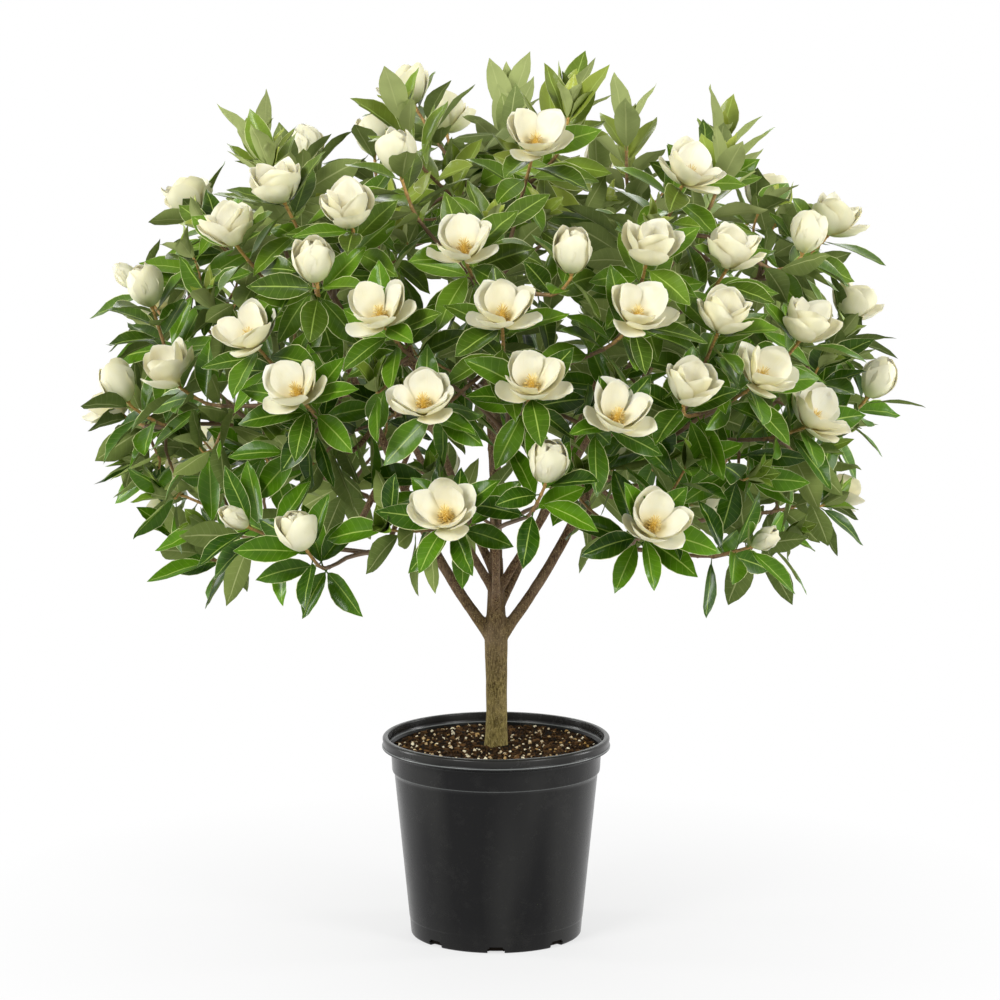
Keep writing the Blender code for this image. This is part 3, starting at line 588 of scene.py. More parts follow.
def crown_radius(height):
    """Radius of the shell on which the shoots end."""
    reach = CROWN_RISE if height > CROWN_CENTRE else CROWN_DROP
    share = min(1.0, abs(height - CROWN_CENTRE) / reach)
    return CROWN_RADIUS * (1 - share ** CROWN_SQUARENESS) ** (1 / CROWN_SQUARENESS)


def all_shoots():
    """The placed shoots, then those that fill the back of the crown."""
    shoots = [
        Shoot(math.radians(azimuth), height * MILLIMETRE, stage, index)
        for index, (azimuth, height, stage) in enumerate(FRONT_SHOOTS + TOP_SHOOTS + BACK_SHOOTS)
    ]
    filled = 0
    for point in range(FILL_POINTS):
        azimuth = math.remainder(point * GOLDEN_ANGLE, math.tau)
        height = FILL_FROM + (FILL_TO - FILL_FROM) * (point + 0.5) / FILL_POINTS
        shoot = Shoot(azimuth, height, FILL_STAGES[filled % len(FILL_STAGES)], len(shoots))
        apart = all((shoot.tip - other.tip).length > FILL_SPACING for other in shoots)
        if abs(azimuth) > FILL_BEHIND and apart:
            shoots.append(shoot)
            filled += 1
    return shoots


def arc_to(start, start_way, end, end_way, steps, bow=Vector((0, 0, 0))):
    """A curve that leaves start one way and reaches end the other way, bowed aside."""
    reach = ARC_PULL * (end - start).length
    first, second = start + start_way * reach + bow, end - end_way * reach + bow
    points = []
    for step in range(steps + 1):
        t = step / steps
        s = 1 - t
        points.append(start * s**3 + first * 3 * s * s * t + second * 3 * s * t * t + end * t**3)
    return points


def way_at(path, index):
    return (path[min(index + 1, len(path) - 1)] - path[max(index - 1, 0)]).normalized()


def tapered(path, foot_radius, end_radius):
    """A path with a radius at each point."""
    last = len(path) - 1
    return path, [foot_radius + (end_radius - foot_radius) * i / last for i in range(last + 1)]


def group_of(shoot):
    """The leafy branch that a shoot grows on, by tier and sector."""
    height = shoot.tip.z
    if height > TOP_ABOVE and shoot.tip.xy.length < TOP_RADIUS:
        return "top", 0
    tier = "low" if height < LOW_BELOW else "high" if height > HIGH_ABOVE else "mid"
    return tier, round(shoot.azimuth / math.tau * SECTORS) % SECTORS


def branch_foot(shoots):
    """Where a group's branch goes on from its limb, and the way that it sets out."""
    heads = [shoot.tip - shoot.axis * HEAD_LENGTH for shoot in shoots]
    middle = sum(heads, Vector()) / len(heads)
    outward = middle - CROWN_HEART
    reach = min(TWIG_REACH, TWIG_REACH_SHARE * outward.length)
    outward.normalize()
    return middle - outward * reach, (outward + UP * BRANCH_LIFT).normalized()


def limb_to(start, leaving, foot, way, steps):
    """A limb's path, square to the branch that goes on from its end."""
    return [*arc_to(start, leaving, foot - way * STUB, way, steps), foot]


def grow_limbs(feet, finer):
    """(path, radii) of the trunk, the leader and the limbs, each of which ends at a foot."""
    fork = UP * FORK_HEIGHT
    trunk = [UP * TRUNK_FOOT, UP * COLLAR_TOP, TRUNK_SET, fork]
    limbs = [(trunk, [COLLAR_RADIUS, COLLAR_RADIUS, TRUNK_RADIUS, TRUNK_RADIUS])]
    leader = limb_to(fork - UP * LEADER_SUNK, UP, *feet["top", 0], LEADER_STEPS * finer)
    limbs.append(tapered(leader, LEADER_RADIUS, LIMB_END_RADIUS))
    for sector in range(SECTORS):
        out = level_way(sector * math.tau / SECTORS)
        tiers = [tier for tier in ("high", "mid", "low") if (tier, sector) in feet]
        strong = sector in (SECTORS // 4, 3 * SECTORS // 4)
        start = fork if strong else fork + UP * (LIMB_FIRST + LIMB_RISE * (sector % 3))
        radius = SIDE_LIMB_RADIUS if strong else LIMB_RADIUS
        leaving = (out * LIMB_OUT + UP * LIMB_UP).normalized()
        main = limb_to(start, leaving, *feet[tiers[0], sector], LIMB_STEPS * finer)
        limbs.append(tapered(main, radius, LIMB_END_RADIUS))
        for index, tier in zip(SIDE_BRANCH_POINTS, tiers[1:]):
            way = (main[(index + 1) * finer] - main[(index - 1) * finer]).normalized()
            leaving = (way + out * SIDE_BRANCH_OUT).normalized()
            steps = SIDE_BRANCH_STEPS * finer
            side = limb_to(main[index * finer], leaving, *feet[tier, sector], steps)
            limbs.append(tapered(side, radius * SIDE_BRANCH_SHARE, LIMB_END_RADIUS))
    return limbs


def tube(path, radii, sides=4):
    """Points and faces of a plain tube with flat ends."""
    aside = (path[-1] - path[0]).orthogonal()
    points = []
    for index, (centre, radius) in enumerate(zip(path, radii)):
        along = way_at(path, index)
        first = (aside - along * aside.dot(along)).normalized()
        second = along.cross(first)
        for side in range(sides):
            angle = math.tau * side / sides
            points.append(centre + (first * math.cos(angle) + second * math.sin(angle)) * radius)
    last = sides * (len(path) - 1)
    ends = [tuple(range(sides)), tuple(range(last, last + sides))]
    return points, ring_faces(last, sides) + ends


def mesh_of(name, solids):
    """One mesh from lists of points and faces, with every face outward."""
    shape = bmesh.new()
    for points, faces in solids:
        verts = [shape.verts.new(point) for point in points]
        for face in faces:
            shape.faces.new([verts[i] for i in face])
    bmesh.ops.recalc_face_normals(shape, faces=shape.faces)
    return finished(name, shape)


def swollen(number, path, radii):
    """A limb's radii, thicker at the collar that it leaves its parent by and at the fork."""
    fatter = []
    gone = 0.0
    for index, (point, radius) in enumerate(zip(path, radii)):
        gone += (point - path[index - 1]).length if index else 0.0
        collar = COLLAR_SWELL * math.exp(-gone / COLLAR_FADE) if number > 1 else 0.0
        collar -= LIMB_SLIMNESS * (1 - index / (len(path) - 1)) if number > 1 else 0.0
        fork = FORK_SWELL * math.exp(-(((point.z - FORK_HEIGHT) / FORK_FADE) ** 2))
        fatter.append(radius * (1 + collar + (fork if number < 2 else 0.0)))
    return path, fatter


def wood_mesh(limbs):
    """The wood as one skin: the limbs' tubes run together, with the roughness of bark."""
    foot, *bends = limbs[0][0]
    fine = [foot, bends[0]]
    steps, fork_steps = TRUNK_STEPS * FINER, FORK_STEPS * FINER
    for start, end in zip(bends, bends[1:]):
        fine += [start.lerp(end, (step + 1) / steps) for step in range(steps)]
    radii = []
    for point in fine:
        share = min(1.0, max(0.0, (point.z - COLLAR_TOP) / (TRUNK_SET.z - COLLAR_TOP)))
        radii.append(COLLAR_RADIUS + (TRUNK_RADIUS - COLLAR_RADIUS) * share ** 0.5)
    for step in range(1, fork_steps + 1):
        share = step / fork_steps
        fine.append(UP * (FORK_HEIGHT + FORK_RUN * share))
        radii.append(TRUNK_RADIUS + (LEADER_START * LEADER_RADIUS - TRUNK_RADIUS) * share)
    drawn = [(fine, radii), *limbs[1:]]
    tubes = [tube(*swollen(number, *limb), WOOD_SIDES) for number, limb in enumerate(drawn)]
    piece = new_piece("trunk_and_limbs_skin", mesh_of("wood", tubes))
    skin = piece.modifiers.new("Skin", "REMESH")
    skin.mode, skin.voxel_size = "VOXEL", WOOD_VOXEL
    apply_modifiers(piece)
    outward = [normal.vector.copy() for normal in piece.data.vertex_normals]
    for vert, way in zip(piece.data.vertices, outward):
        place, low = vert.co, max(0.0, 1 - (vert.co.z - MIX_TOP) / RIDGES_FADE)
        ridges = noise.noise(Vector((place.x * RIDGES, place.y * RIDGES, place.z * RIDGE_RUN)))
        lumps = noise.noise(place * BARK_LUMPS)
        rise = ridges * (RIDGE_RISE + FOOT_RIDGE_RISE * low) + lumps * BARK_LUMP_RISE
        vert.co = place + way * rise
    piece.data.shade_smooth()
    return piece


def magnolia_bark():
    """Living bark: matt, olive and finely cracked low on the trunk, then brown-grey and
    smoother up the limbs, with the pale breathing pores that magnolia wood has."""
    finish, add, shader = new_material("magnolia_bark", Roughness=0.82, Specular_IOR_Level=0.20)
    place = add("TexCoord").outputs["Object"]
    height = add("SeparateXYZ", place).outputs["Z"]
    # Cracks about 2 mm apart and 8 mm long run up the trunk.
    drawn_out = add("Mapping", place, Scale=(520.0, 520.0, 120.0))
    cracks = add("TexNoise", Vector=drawn_out, Scale=1.0, Detail=5.0, Roughness=0.65)
    patches = add("TexNoise", Vector=place, Scale=34.0, Detail=5.0)
    flat = add("Mapping", place, Scale=(230.0, 230.0, 420.0))
    pores = add("TexVoronoi", Vector=flat, Scale=1.0, Randomness=1.0)
    pore = add("MapRange", pores.outputs["Distance"], 0.28, 0.16)
    blur = add("Math", patches, 0.16, height, operation="MULTIPLY_ADD")
    rise = add("MapRange", blur, 0.40, 0.62)
    # The bark, its cracks and its worn patches are each olive low down and brown above.
    base, dark, worn = [
        add("Mix", rise, olive, brown, data_type="RGBA")
        for olive, brown in (("#90814a", "#7c6244"), ("#443818", "#3b2415"), ("#a09058", "#937f68"))
    ]
    depth = add("MapRange", cracks, 0.42, 0.57)
    mottle = add("MapRange", patches, 0.35, 0.70, 0.0, 0.45)
    share = add("Math", pore, 0.55, operation="MULTIPLY")
    colour = dark
    for factor, paint in ((depth, base), (mottle, worn), (share, "#b8a774")):
        colour = add("Mix", factor, colour, paint, data_type="RGBA")
    bumps = add("Bump", Height=cracks, Strength=0.9, Distance=0.0010)
    bumps = add("Bump", Height=pore, Normal=bumps, Strength=0.4, Distance=0.0004)
    connect(shader, Base_Color=colour, Normal=bumps)
    return finish


shoots = all_shoots()
groups = {}
for shoot in shoots:
    groups.setdefault(group_of(shoot), []).append(shoot)
groups = dict(sorted(groups.items()))
feet = {key: branch_foot(members) for key, members in groups.items()}
wood = wood_mesh(grow_limbs(feet, FINER))
wood.data.materials.append(magnolia_bark())
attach(wood, "root")
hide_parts("trunk_and_limbs")


# ================================================================== the twigs
# Each limb goes on in a leafy branch of thin twigs, one to each flower or leafy tip. This
# year's growth is smooth and rusty tan, and it darkens to brown bark towards the limb.

TWIG_STEPS = 4
BOW_STEP = 0.014
BOW_TRIES = 13
TWIG_FOOT_RADIUS = 0.0038
TWIG_TIP_RADIUS = 0.0022
LEAF_PAIR_BELOW_TIP = 0.010
LEAF_PAIR_STEP = 0.021
FLOWER_SIZE = {
    "open": (0.048, 0.040), "half": (0.037, 0.052), "cup": (0.025, 0.058), "bud": (0.016, 0.052),
}
FLOWER_RINGS = {
    "open": ((0.62, 0.22), (1.00, 0.86)),
    "half": ((0.86, 0.34), (1.00, 0.98)),
    "cup": ((0.92, 0.32), (0.98, 0.66)),
    "bud": ((0.80, 0.26), (1.00, 0.52)),
}
LOBE_DEPTH = {"open": 0.09, "half": 0.06, "cup": 0.03, "bud": 0.0}
OUTLINE_FOOT, OUTLINE_TOP, OUTLINE_SIDES = (0.05, 0.0), (0.40, 1.0), 10
TWIG_CLEAR, TWIG_OWN, LIMB_OWN, LEAF_CLEAR, FLOWER_CLEAR = 1.4, 1.1, 1.1, 1.3, 1.05

# Tips that carry only leaves, between the flowers and behind them: points spiral up the crown
# in three layers, and each is kept where it is this far from the tips that are already there.
TUFT_FROM, TUFT_TO = CROWN_CENTRE - 0.70 * CROWN_DROP, CROWN_CENTRE + 0.90 * CROWN_RISE
TUFT_HIGHEST = CROWN_CENTRE + 0.985 * CROWN_RISE
# For each layer: how far out it lies, its spacing, where its spiral starts and ends, and its
# lowest tuft. The third fills the middle of the crown under its top.
TUFT_LAYERS = (
    (0.93, 0.096, TUFT_FROM, TUFT_TO, 0.66), (0.66, 0.120, TUFT_FROM, TUFT_TO, 0.84),
    (0.78, 0.110, TUFT_TO, TUFT_HIGHEST, TUFT_TO),
)
TUFT_POINTS = 260
TUFT_LEAN = math.radians(38)
STRAIGHTNESS = 0.06  # how much longer a stalk may be, if it leaves straight on
TWIG_BENDS = (1, 2, 3)  # of a twig's points, from which another may leave
BARE_HALF_WIDTH, BARE_BELOW = 0.20, 0.70  # under the middle of the crown the limbs are bare
TWIG_SIDES = 8
TWIG_START = 0.004  # how far a branch's twigs start inside the limb
BEND_SHARE = 0.35  # how much of the stretches beside a bend is taken up in rounding it
BEND_STEPS = 3
TWIG_STATIONS = (0.85, 0.7, 0.55)  # of its length from its tip, where it has rings besides
NODES = [LEAF_PAIR_BELOW_TIP + LEAF_PAIR_STEP * pair for pair in range(5)]  # down from the tip
TUFT_SLENDER = 0.72  # how thick a tuft's twig is beside a flower's
NODE_SWELL, NODE_LENGTH = 0.26, 0.0028
TIP_SWELL, TIP_LENGTH = 0.75, 0.005  # a flower's twig thickens into its seat


class Room:
    """What already stands in the crown, for finding a free place for what grows next."""

    CELL = 0.07

    def __init__(self):
        self.cells = {}

    def cells_of(self, points):
        spans = []
        for axis in range(3):
            values = [point[axis] for point in points]
            spans.append(range(int(min(values) // self.CELL), int(max(values) // self.CELL) + 1))
        return [(x, y, z) for x in spans[0] for y in spans[1] for z in spans[2]]

    def add(self, solid, *owner):
        entry = (BVHTree.FromPolygons(*solid), owner)
        for cell in self.cells_of(solid[0]):
            self.cells.setdefault(cell, []).append(entry)

    def is_free(self, solid, *kin):
        """Whether a solid touches nothing but its kin, each given as the start of an owner."""
        tree = BVHTree.FromPolygons(*solid)
        near = {}
        for cell in self.cells_of(solid[0]):
            near.update((id(entry), entry) for entry in self.cells.get(cell, ()))
        strangers = [
            other
            for other, owner in near.values()
            if not any(owner[: len(start)] == start for start in kin)
        ]
        return not any(other.overlap(tree) for other in strangers)


def flower_outline(shoot, swell):
    """Points and faces of a plain solid round a flower."""
    radius, height = FLOWER_SIZE[shoot.stage]
    rings = (OUTLINE_FOOT, *FLOWER_RINGS[shoot.stage], OUTLINE_TOP)
    path = [shoot.tip + shoot.axis * (GAP + rise * height * swell) for _, rise in rings]
    lobed = (1 + LOBE_DEPTH[shoot.stage]) * radius * swell
    return tube(path, [share * lobed for share, _ in rings], OUTLINE_SIDES)


def grow_twig(shoot, key, start, leaving, first_of_branch):
    """A twig to a shoot's tip, bowed aside where it would run into something else."""
    aside = (shoot.tip - start).cross(shoot.axis).normalized()
    kin = (("twig", key), ("flower", shoot.index))
    end = shoot.tip - shoot.axis * LEAF_PAIR_BELOW_TIP
    for attempt in range(BOW_TRIES):
        bow = aside * BOW_STEP * ((attempt + 1) // 2) * (-1) ** attempt
        if first_of_branch:
            arc = arc_to(start + leaving * STUB, leaving, end, shoot.axis, TWIG_STEPS - 1, bow)
            arc.insert(0, start + leaving * GAP)
        else:
            arc = arc_to(start, leaving, end, shoot.axis, TWIG_STEPS, bow)
        shoot.path = [*arc, shoot.tip]
        thick = (TWIG_FOOT_RADIUS * TWIG_CLEAR, TWIG_TIP_RADIUS * TWIG_CLEAR)
        if room.is_free(tube(*tapered(shoot.path[1:], *thick)), *kin):
            break
    own = tapered(shoot.path, TWIG_FOOT_RADIUS * TWIG_OWN, TWIG_TIP_RADIUS * TWIG_OWN)
    room.add(tube(*own), "twig", key, shoot.index)


def grow_from(shoot, key, first, index):
    """A twig that leaves another one at one of its bends."""
    way = (way_at(first, index) + (shoot.tip - first[index]).normalized()).normalized()
    grow_twig(shoot, key, first[index], way, False)


def tufts():
    """The tips that carry only leaves, outer layer first."""
    found = []
    for depth, spacing, foot, top, lowest in TUFT_LAYERS:
        for point in range(TUFT_POINTS):
            height = foot + (top - foot) * (point + 0.5) / TUFT_POINTS
            tuft = Shoot(point * GOLDEN_ANGLE, height, "leaf", len(shoots) + len(found))
            tuft.stage = "tuft"
            tuft.tip = CROWN_HEART + (tuft.tip - CROWN_HEART) * depth
            tuft.lean_out(TUFT_LEAN + (math.radians(LOW_LEAN) if height < CROWN_CENTRE else 0.0))
            bare = abs(tuft.tip.x) < BARE_HALF_WIDTH and tuft.tip.z < BARE_BELOW
            apart = all((tuft.tip - other.tip).length > spacing for other in [*shoots, *found])
            if apart and height > lowest and not bare:
                found.append(tuft)
    return found


def nearest_bend(tuft):
    """(branch, path, index) of the twig that a tuft can grow from with the shortest stalk."""
    def reach(bend):
        stretch = tuft.tip - bend[1][bend[2]]
        return stretch.length - STRAIGHTNESS * tuft.axis.dot(stretch.normalized())

    bends = [
        (key, member.path, index)
        for key, members in groups.items()
        for member in members
        for index in TWIG_BENDS
    ]
    return min(bends, key=reach)


def smoothed(path):
    """A path with its bends rounded."""
    fine = [path[0]]
    for before, bend, after in zip(path, path[1:], path[2:]):
        start, end = bend.lerp(before, BEND_SHARE), bend.lerp(after, BEND_SHARE)
        fine += rounded_bend(start, bend, end, BEND_STEPS)
    return [*fine, path[-1]]


def twig_rings(shoot):
    """Path and radii of a drawn twig: swollen where leaves leave it and under a flower."""
    fine = smoothed(shoot.path)
    fine[0] = fine[0] - (fine[1] - fine[0]).normalized() * TWIG_START
    length = sum((b - a).length for a, b in zip(fine, fine[1:]))
    stations = {length, 0.0, TIP_LENGTH / 2, TIP_LENGTH}
    stations |= {length * share for share in TWIG_STATIONS}
    for node in NODES:
        if node + NODE_LENGTH < length:
            stations |= {node + NODE_LENGTH * step for step in (-1, 0, 1)}
    path, radii = [], []
    for station in sorted(stations, reverse=True):
        radius = TWIG_TIP_RADIUS + (TWIG_FOOT_RADIUS - TWIG_TIP_RADIUS) * station / length
        near = min(abs(station - node) for node in NODES) / NODE_LENGTH
        radius *= 1 + NODE_SWELL * max(0.0, 1 - near)
        if shoot.stage in FLOWER_SIZE:
            radius *= 1 + TIP_SWELL * max(0.0, 1 - station / TIP_LENGTH)
        path.append(point_below(fine, station)[0])
        radii.append(radius * (TUFT_SLENDER if shoot.stage == "tuft" else 1.0))
    return path, radii


def point_below(path, distance):
    """(point, way) on a path, at a distance back from its end."""
    for index in range(len(path) - 1, 0, -1):
        step = path[index] - path[index - 1]
        if distance <= step.length or index == 1:
            return path[index] - step.normalized() * distance, step.normalized()
        distance -= step.length


def twigs_mesh(name, members):
    """The twigs of one branch, with how far each point is along its twig."""
    solids = [tube(*twig_rings(shoot), TWIG_SIDES) for shoot in members]
    mesh = mesh_of(name, solids)
    shares = []
    for points, _ in solids:
        shares += [i // TWIG_SIDES / (len(points) // TWIG_SIDES - 1) for i in range(len(points))]
    mark(mesh, "along", "FLOAT", shares)
    mesh.shade_smooth()
    return mesh


def young_bark():
    """Bark of this year's twigs: thin, a little waxy, rusty tan with a darker fleck, and brown
    where it is older."""
    finish, add, shader = new_material("young_twig_bark", Roughness=0.6, Coat_Weight=0.05)
    place = add("TexCoord").outputs["Object"]
    along = add("Attribute", attribute_name="along").outputs["Fac"]
    flecks = add("TexNoise", Vector=place, Scale=260.0, Detail=5.0)
    share = add("Math", flecks, 0.7, along, operation="MULTIPLY_ADD")
    share = add("MapRange", share, 0.65, 1.30)
    fleck = add("MapRange", flecks, 0.52, 0.30, 0.0, 0.5)
    colour = "#705739"
    for factor, paint in ((share, "#c0964e"), (fleck, "#5a3f22")):
        colour = add("Mix", factor, colour, paint, data_type="RGBA")
    bumps = add("Bump", Height=flecks, Strength=0.5, Distance=0.0005)
    connect(shader, Base_Color=colour, Normal=bumps)
    return finish


room = Room()
for shoot in shoots:
    if shoot.stage != "leaf":
        room.add(flower_outline(shoot, FLOWER_CLEAR), "flower", shoot.index)
for path, radii in grow_limbs(feet, 1):
    room.add(tube(path, [radius * LIMB_OWN for radius in radii], 6), "limb")
for key, members in groups.items():
    foot, way = feet[key]
    members.sort(key=lambda shoot: -(shoot.tip - foot).normalized().dot(way))
    for order, shoot in enumerate(members):
        if order:
            # At the top, the twigs leave low down and rise steeply.
            bends = 2 if key[0] == "top" else 3
            grow_from(shoot, key, members[0].path, 1 + (order - 1) % bends)
        else:
            grow_twig(shoot, key, foot, way, True)


# ================================================================== the leaves
# Evergreen leaves on short stalks, spiralled close together below each flower and tip. They
# are thick and glossy above with a pale midrib and margin, and dull grey-green below.

LEAF_LENGTH = 0.098
LEAF_WIDTH = 0.036
LEAF_THICKNESS = 0.0012
LEAF_SECTIONS = ((0.36, 0.46), (0.70, 0.41), (1.0, 0.03))
LEAF_FOOT_SHARE = 0.03
LEAF_FOOT_HALF_WIDTH = 0.00154
LEAF_SIZES = (0.86, 1.10)
LEAF_WIDTHS = (0.9, 1.1)
LEAF_DROOPS = (0.12, 0.42)
LEAF_PITCH, LEAFY_PITCH = 64, 34
LEAFY_DROOP = 0.4
PITCH_STEP, PITCH_SPREAD, ROLL_SPREAD = 9, 8, 22
LEAF_OFF_AXIS = 0.0014
FRONT_LEAVES, OTHER_LEAVES = 4, 3
LEAF_TRIES = 18
TURN_STEP, TILT_STEP, TILTS = 12, 8, 4
PITCH_STEPS = 5
TOP_EXTRA = 8  # leaves that the long twigs at the top have besides
TWIST = 1.9
FULL_LEAVES = {"open": 10, "half": 10, "cup": 9, "bud": 8, "leaf": 12, "tuft": 9}
FULL_TRIES, FULL_CLEAR = 7, 0.9
BLADE_THICKNESS = 0.00028  # half of what a leaf is thick
LEAF_BREADTH = 1.04  # of the planned width
LEAF_FOLD, LEAF_TWIST = (0.10, 0.30), 0.40
YOUNG_LEAVES = 4  # that stand at a leafy tip
YOUNG_LENGTH, YOUNG_WIDTH = 0.058, 0.021
YOUNG_CURL, YOUNG_CUP = -0.30, 0.35  # they curve up round the bud
YOUNG_SPREAD, YOUNG_FEET = (0.12, 0.50), (0.002, 0.012)  # how far out they lean, and start down
LEAST_CURL = 0.02
LEAF_RIPPLE = 0.010
LEAFY_YOUTH_AND_LIGHT, FLOWERING_YOUTH_AND_LIGHT = 0.62, 0.20  # how young a leaf at the top is, at most, and so how much painted light lightens it
FLATNESS = 0.002  # of a blade before it is bent
BLADE_SHARP = math.radians(60)  # a sharper corner than this stays an edge
YOUTH_AND_LIGHT_FROM, YOUTH_AND_LIGHT_RISE = 0.85, 0.35  # over which leaves are younger the higher they grow, and are painted lighter as painted light
FOLD_RISE = 4.0
PATCH_SPREAD, PATCH_LENGTH = 91.0, 2.4  # where a blade's ripple lies in the noise that makes it

# Along the blade, half width as a share of the greatest width, and thickness.
LEAF_ROWS = (
    (0.0, 0.035, 3.0), (0.09, 0.030, 3.0), (0.15, 0.17, 1.4), (0.27, 0.36, 1.0), (0.42, 0.48, 1.0),
    (0.56, 0.50, 1.0), (0.70, 0.43, 1.0), (0.83, 0.29, 1.0), (0.93, 0.12, 1.0), (1.0, 0.008, 1.0),
)
BLADE_PLACES = ("foot", "along", "across", "fall")
BLADE_VALUES = ("length", "width", "curl", "cup", "twist", "tint", "age")


class Leaf:
    """A blade from its foot on the twig to its tip: a bent centre line and a width."""

    def __init__(self, foot, direction, across, droop, length, width):
        self.foot, self.direction, self.across = foot, direction, across
        self.droop, self.length, self.width = droop, length, width

    def section(self, share, half_width, half_thickness):
        """Corners across the blade: left under, right under, right upper, left upper."""
        fall = DOWN * (0.5 * self.droop * share * share)
        middle = self.foot + (self.direction * share + fall) * self.length
        along = (self.direction + DOWN * self.droop * share).normalized()
        side = self.across * half_width
        rise = self.across.cross(along).normalized() * half_thickness
        left, right = middle - side, middle + side
        return [left - rise, right - rise, right + rise, left + rise]

    def sections(self, swell=1.0):
        """The blade's two wide sections and its tip."""
        half_thickness = LEAF_THICKNESS / 2 * swell
        wide = self.width * swell
        return [self.section(share, half * wide, half_thickness) for share, half in LEAF_SECTIONS]


def plain_blade(leaf, swell):
    """Points and faces of a leaf's plain solid, from its foot to its tip."""
    foot = leaf.section(LEAF_FOOT_SHARE, LEAF_FOOT_HALF_WIDTH, LEAF_THICKNESS / 2)
    points = [corner for section in [foot, *leaf.sections(swell)] for corner in section]
    return points, [(0, 1, 2, 3), (12, 13, 14, 15), *ring_faces(12, 4)]


def leaf_on(shoot, number, chance, turn, tilt):
    """Leaf number along a shoot, counted down from its tip, turned and tilted aside."""
    pair = number // 2
    foot, along = point_below(shoot.path, LEAF_PAIR_BELOW_TIP + LEAF_PAIR_STEP * pair)
    angle = number * GOLDEN_ANGLE + shoot.index * TWIST + turn
    outward = Matrix.Rotation(angle, 3, along) @ along.orthogonal().normalized()
    leafy = shoot.stage == "leaf"
    degrees = (LEAFY_PITCH if leafy else LEAF_PITCH) + PITCH_STEP * min(pair, PITCH_STEPS)
    pitch = math.radians(degrees + chance.uniform(-PITCH_SPREAD, PITCH_SPREAD)) + tilt
    direction = (along * math.cos(pitch) + outward * math.sin(pitch)).normalized()
    roll = math.radians(chance.uniform(-ROLL_SPREAD, ROLL_SPREAD))
    across = Matrix.Rotation(roll, 3, direction) @ direction.cross(along).normalized()
    size = chance.uniform(*LEAF_SIZES)
    droop = chance.uniform(*LEAF_DROOPS) * (LEAFY_DROOP if leafy else 1.0)
    width = LEAF_WIDTH * size * chance.uniform(*LEAF_WIDTHS)
    start = foot + outward * LEAF_OFF_AXIS
    return Leaf(start, direction, across, droop, LEAF_LENGTH * size, width)


def grow_leaf(shoot, key, number, tries, clear):
    """Grows leaf number where it touches nothing that is already there."""
    for attempt in range(tries):
        # All that grows by chance has its own seed, so that no other leaf or petal moves it.
        seed = shoot.index * 997 + number * 31 + attempt
        turn = math.radians(TURN_STEP * ((attempt + 1) // 2) * (-1) ** attempt)
        tilt = math.radians(TILT_STEP * (attempt % TILTS - 1))
        leaf = leaf_on(shoot, number, random.Random(seed), turn, tilt)
        solid = plain_blade(leaf, clear)
        if room.is_free(solid, ("twig", key, shoot.index)):
            room.add(solid, "leaf", key, shoot.index)
            shoot.leaves.append(leaf)
            return


def unit_blade(name, rows, columns):
    """A flat thin closed blade, one unit long. Each point knows its place on the blade in the
    attribute blade (aside, along, thickness), and each face whether it is on the upper side."""
    last = len(rows) - 1
    verts, places, marks, faces, uppers = {}, [], [], [], []

    def key_of(row, column, side):
        """A point's key, which both sides share on the edge."""
        return row, column, 0 if abs(column) == columns or row in (0, last) else side

    for side in (1, -1):
        for row, (along, half_width, thick) in enumerate(rows):
            for column in range(-columns, columns + 1):
                key = key_of(row, column, side)
                if key not in verts:
                    verts[key] = len(places)
                    places.append((half_width * column / columns, along, key[2] * thick))
                    marks.append((0.5 + 0.5 * column / columns, along))
        for row in range(last):
            for column in range(-columns, columns):
                corners = ((row, column), (row, column + 1), (row + 1, column + 1), (row + 1, column))
                first, second, third, fourth = [verts[key_of(*corner, side)] for corner in corners]
                # Split so that no half has all its corners on the edge, where both sides meet.
                if (column < 0) != (row == last - 1):
                    halves = ((first, second, third), (first, third, fourth))
                else:
                    halves = ((first, second, fourth), (second, third, fourth))
                faces += [half[::side] for half in halves]
                uppers += [float(side > 0)] * len(halves)
    mesh = mesh_from(name, [(x, y, FLATNESS * z) for x, y, z in places], faces)
    mark(mesh, "blade", "FLOAT_VECTOR", [value for place in places for value in place])
    mark(mesh, "upper", "FLOAT", uppers, "FACE")
    layer = mesh.uv_layers.new(name="UVMap")
    for loop in mesh.loops:
        layer.data[loop.index].uv = marks[loop.vertex_index]
    mesh.shade_smooth()
    mesh.set_sharp_from_angle(angle=BLADE_SHARP)
    return new_piece(name, mesh)


def blade_seeds(name, blades):
    """A point for each blade, with its place and its sizes as attributes."""
    mesh = mesh_from(name, [blade["foot"] for blade in blades])
    for label in BLADE_PLACES:
        mark(mesh, label, "FLOAT_VECTOR", [value for blade in blades for value in blade[label]])
    for label in BLADE_VALUES:
        mark(mesh, label, "FLOAT", [blade[label] for blade in blades])
    return mesh


def work_out(add, known, sums):
    """Adds a node for each sum to what is known: (its name, kind, operation, inputs...). An
    input is a number or the name of something known."""
    for name, kind, operation, *values in sums:
        known[name] = add(kind, *[known.get(value, value) for value in values], operation=operation)


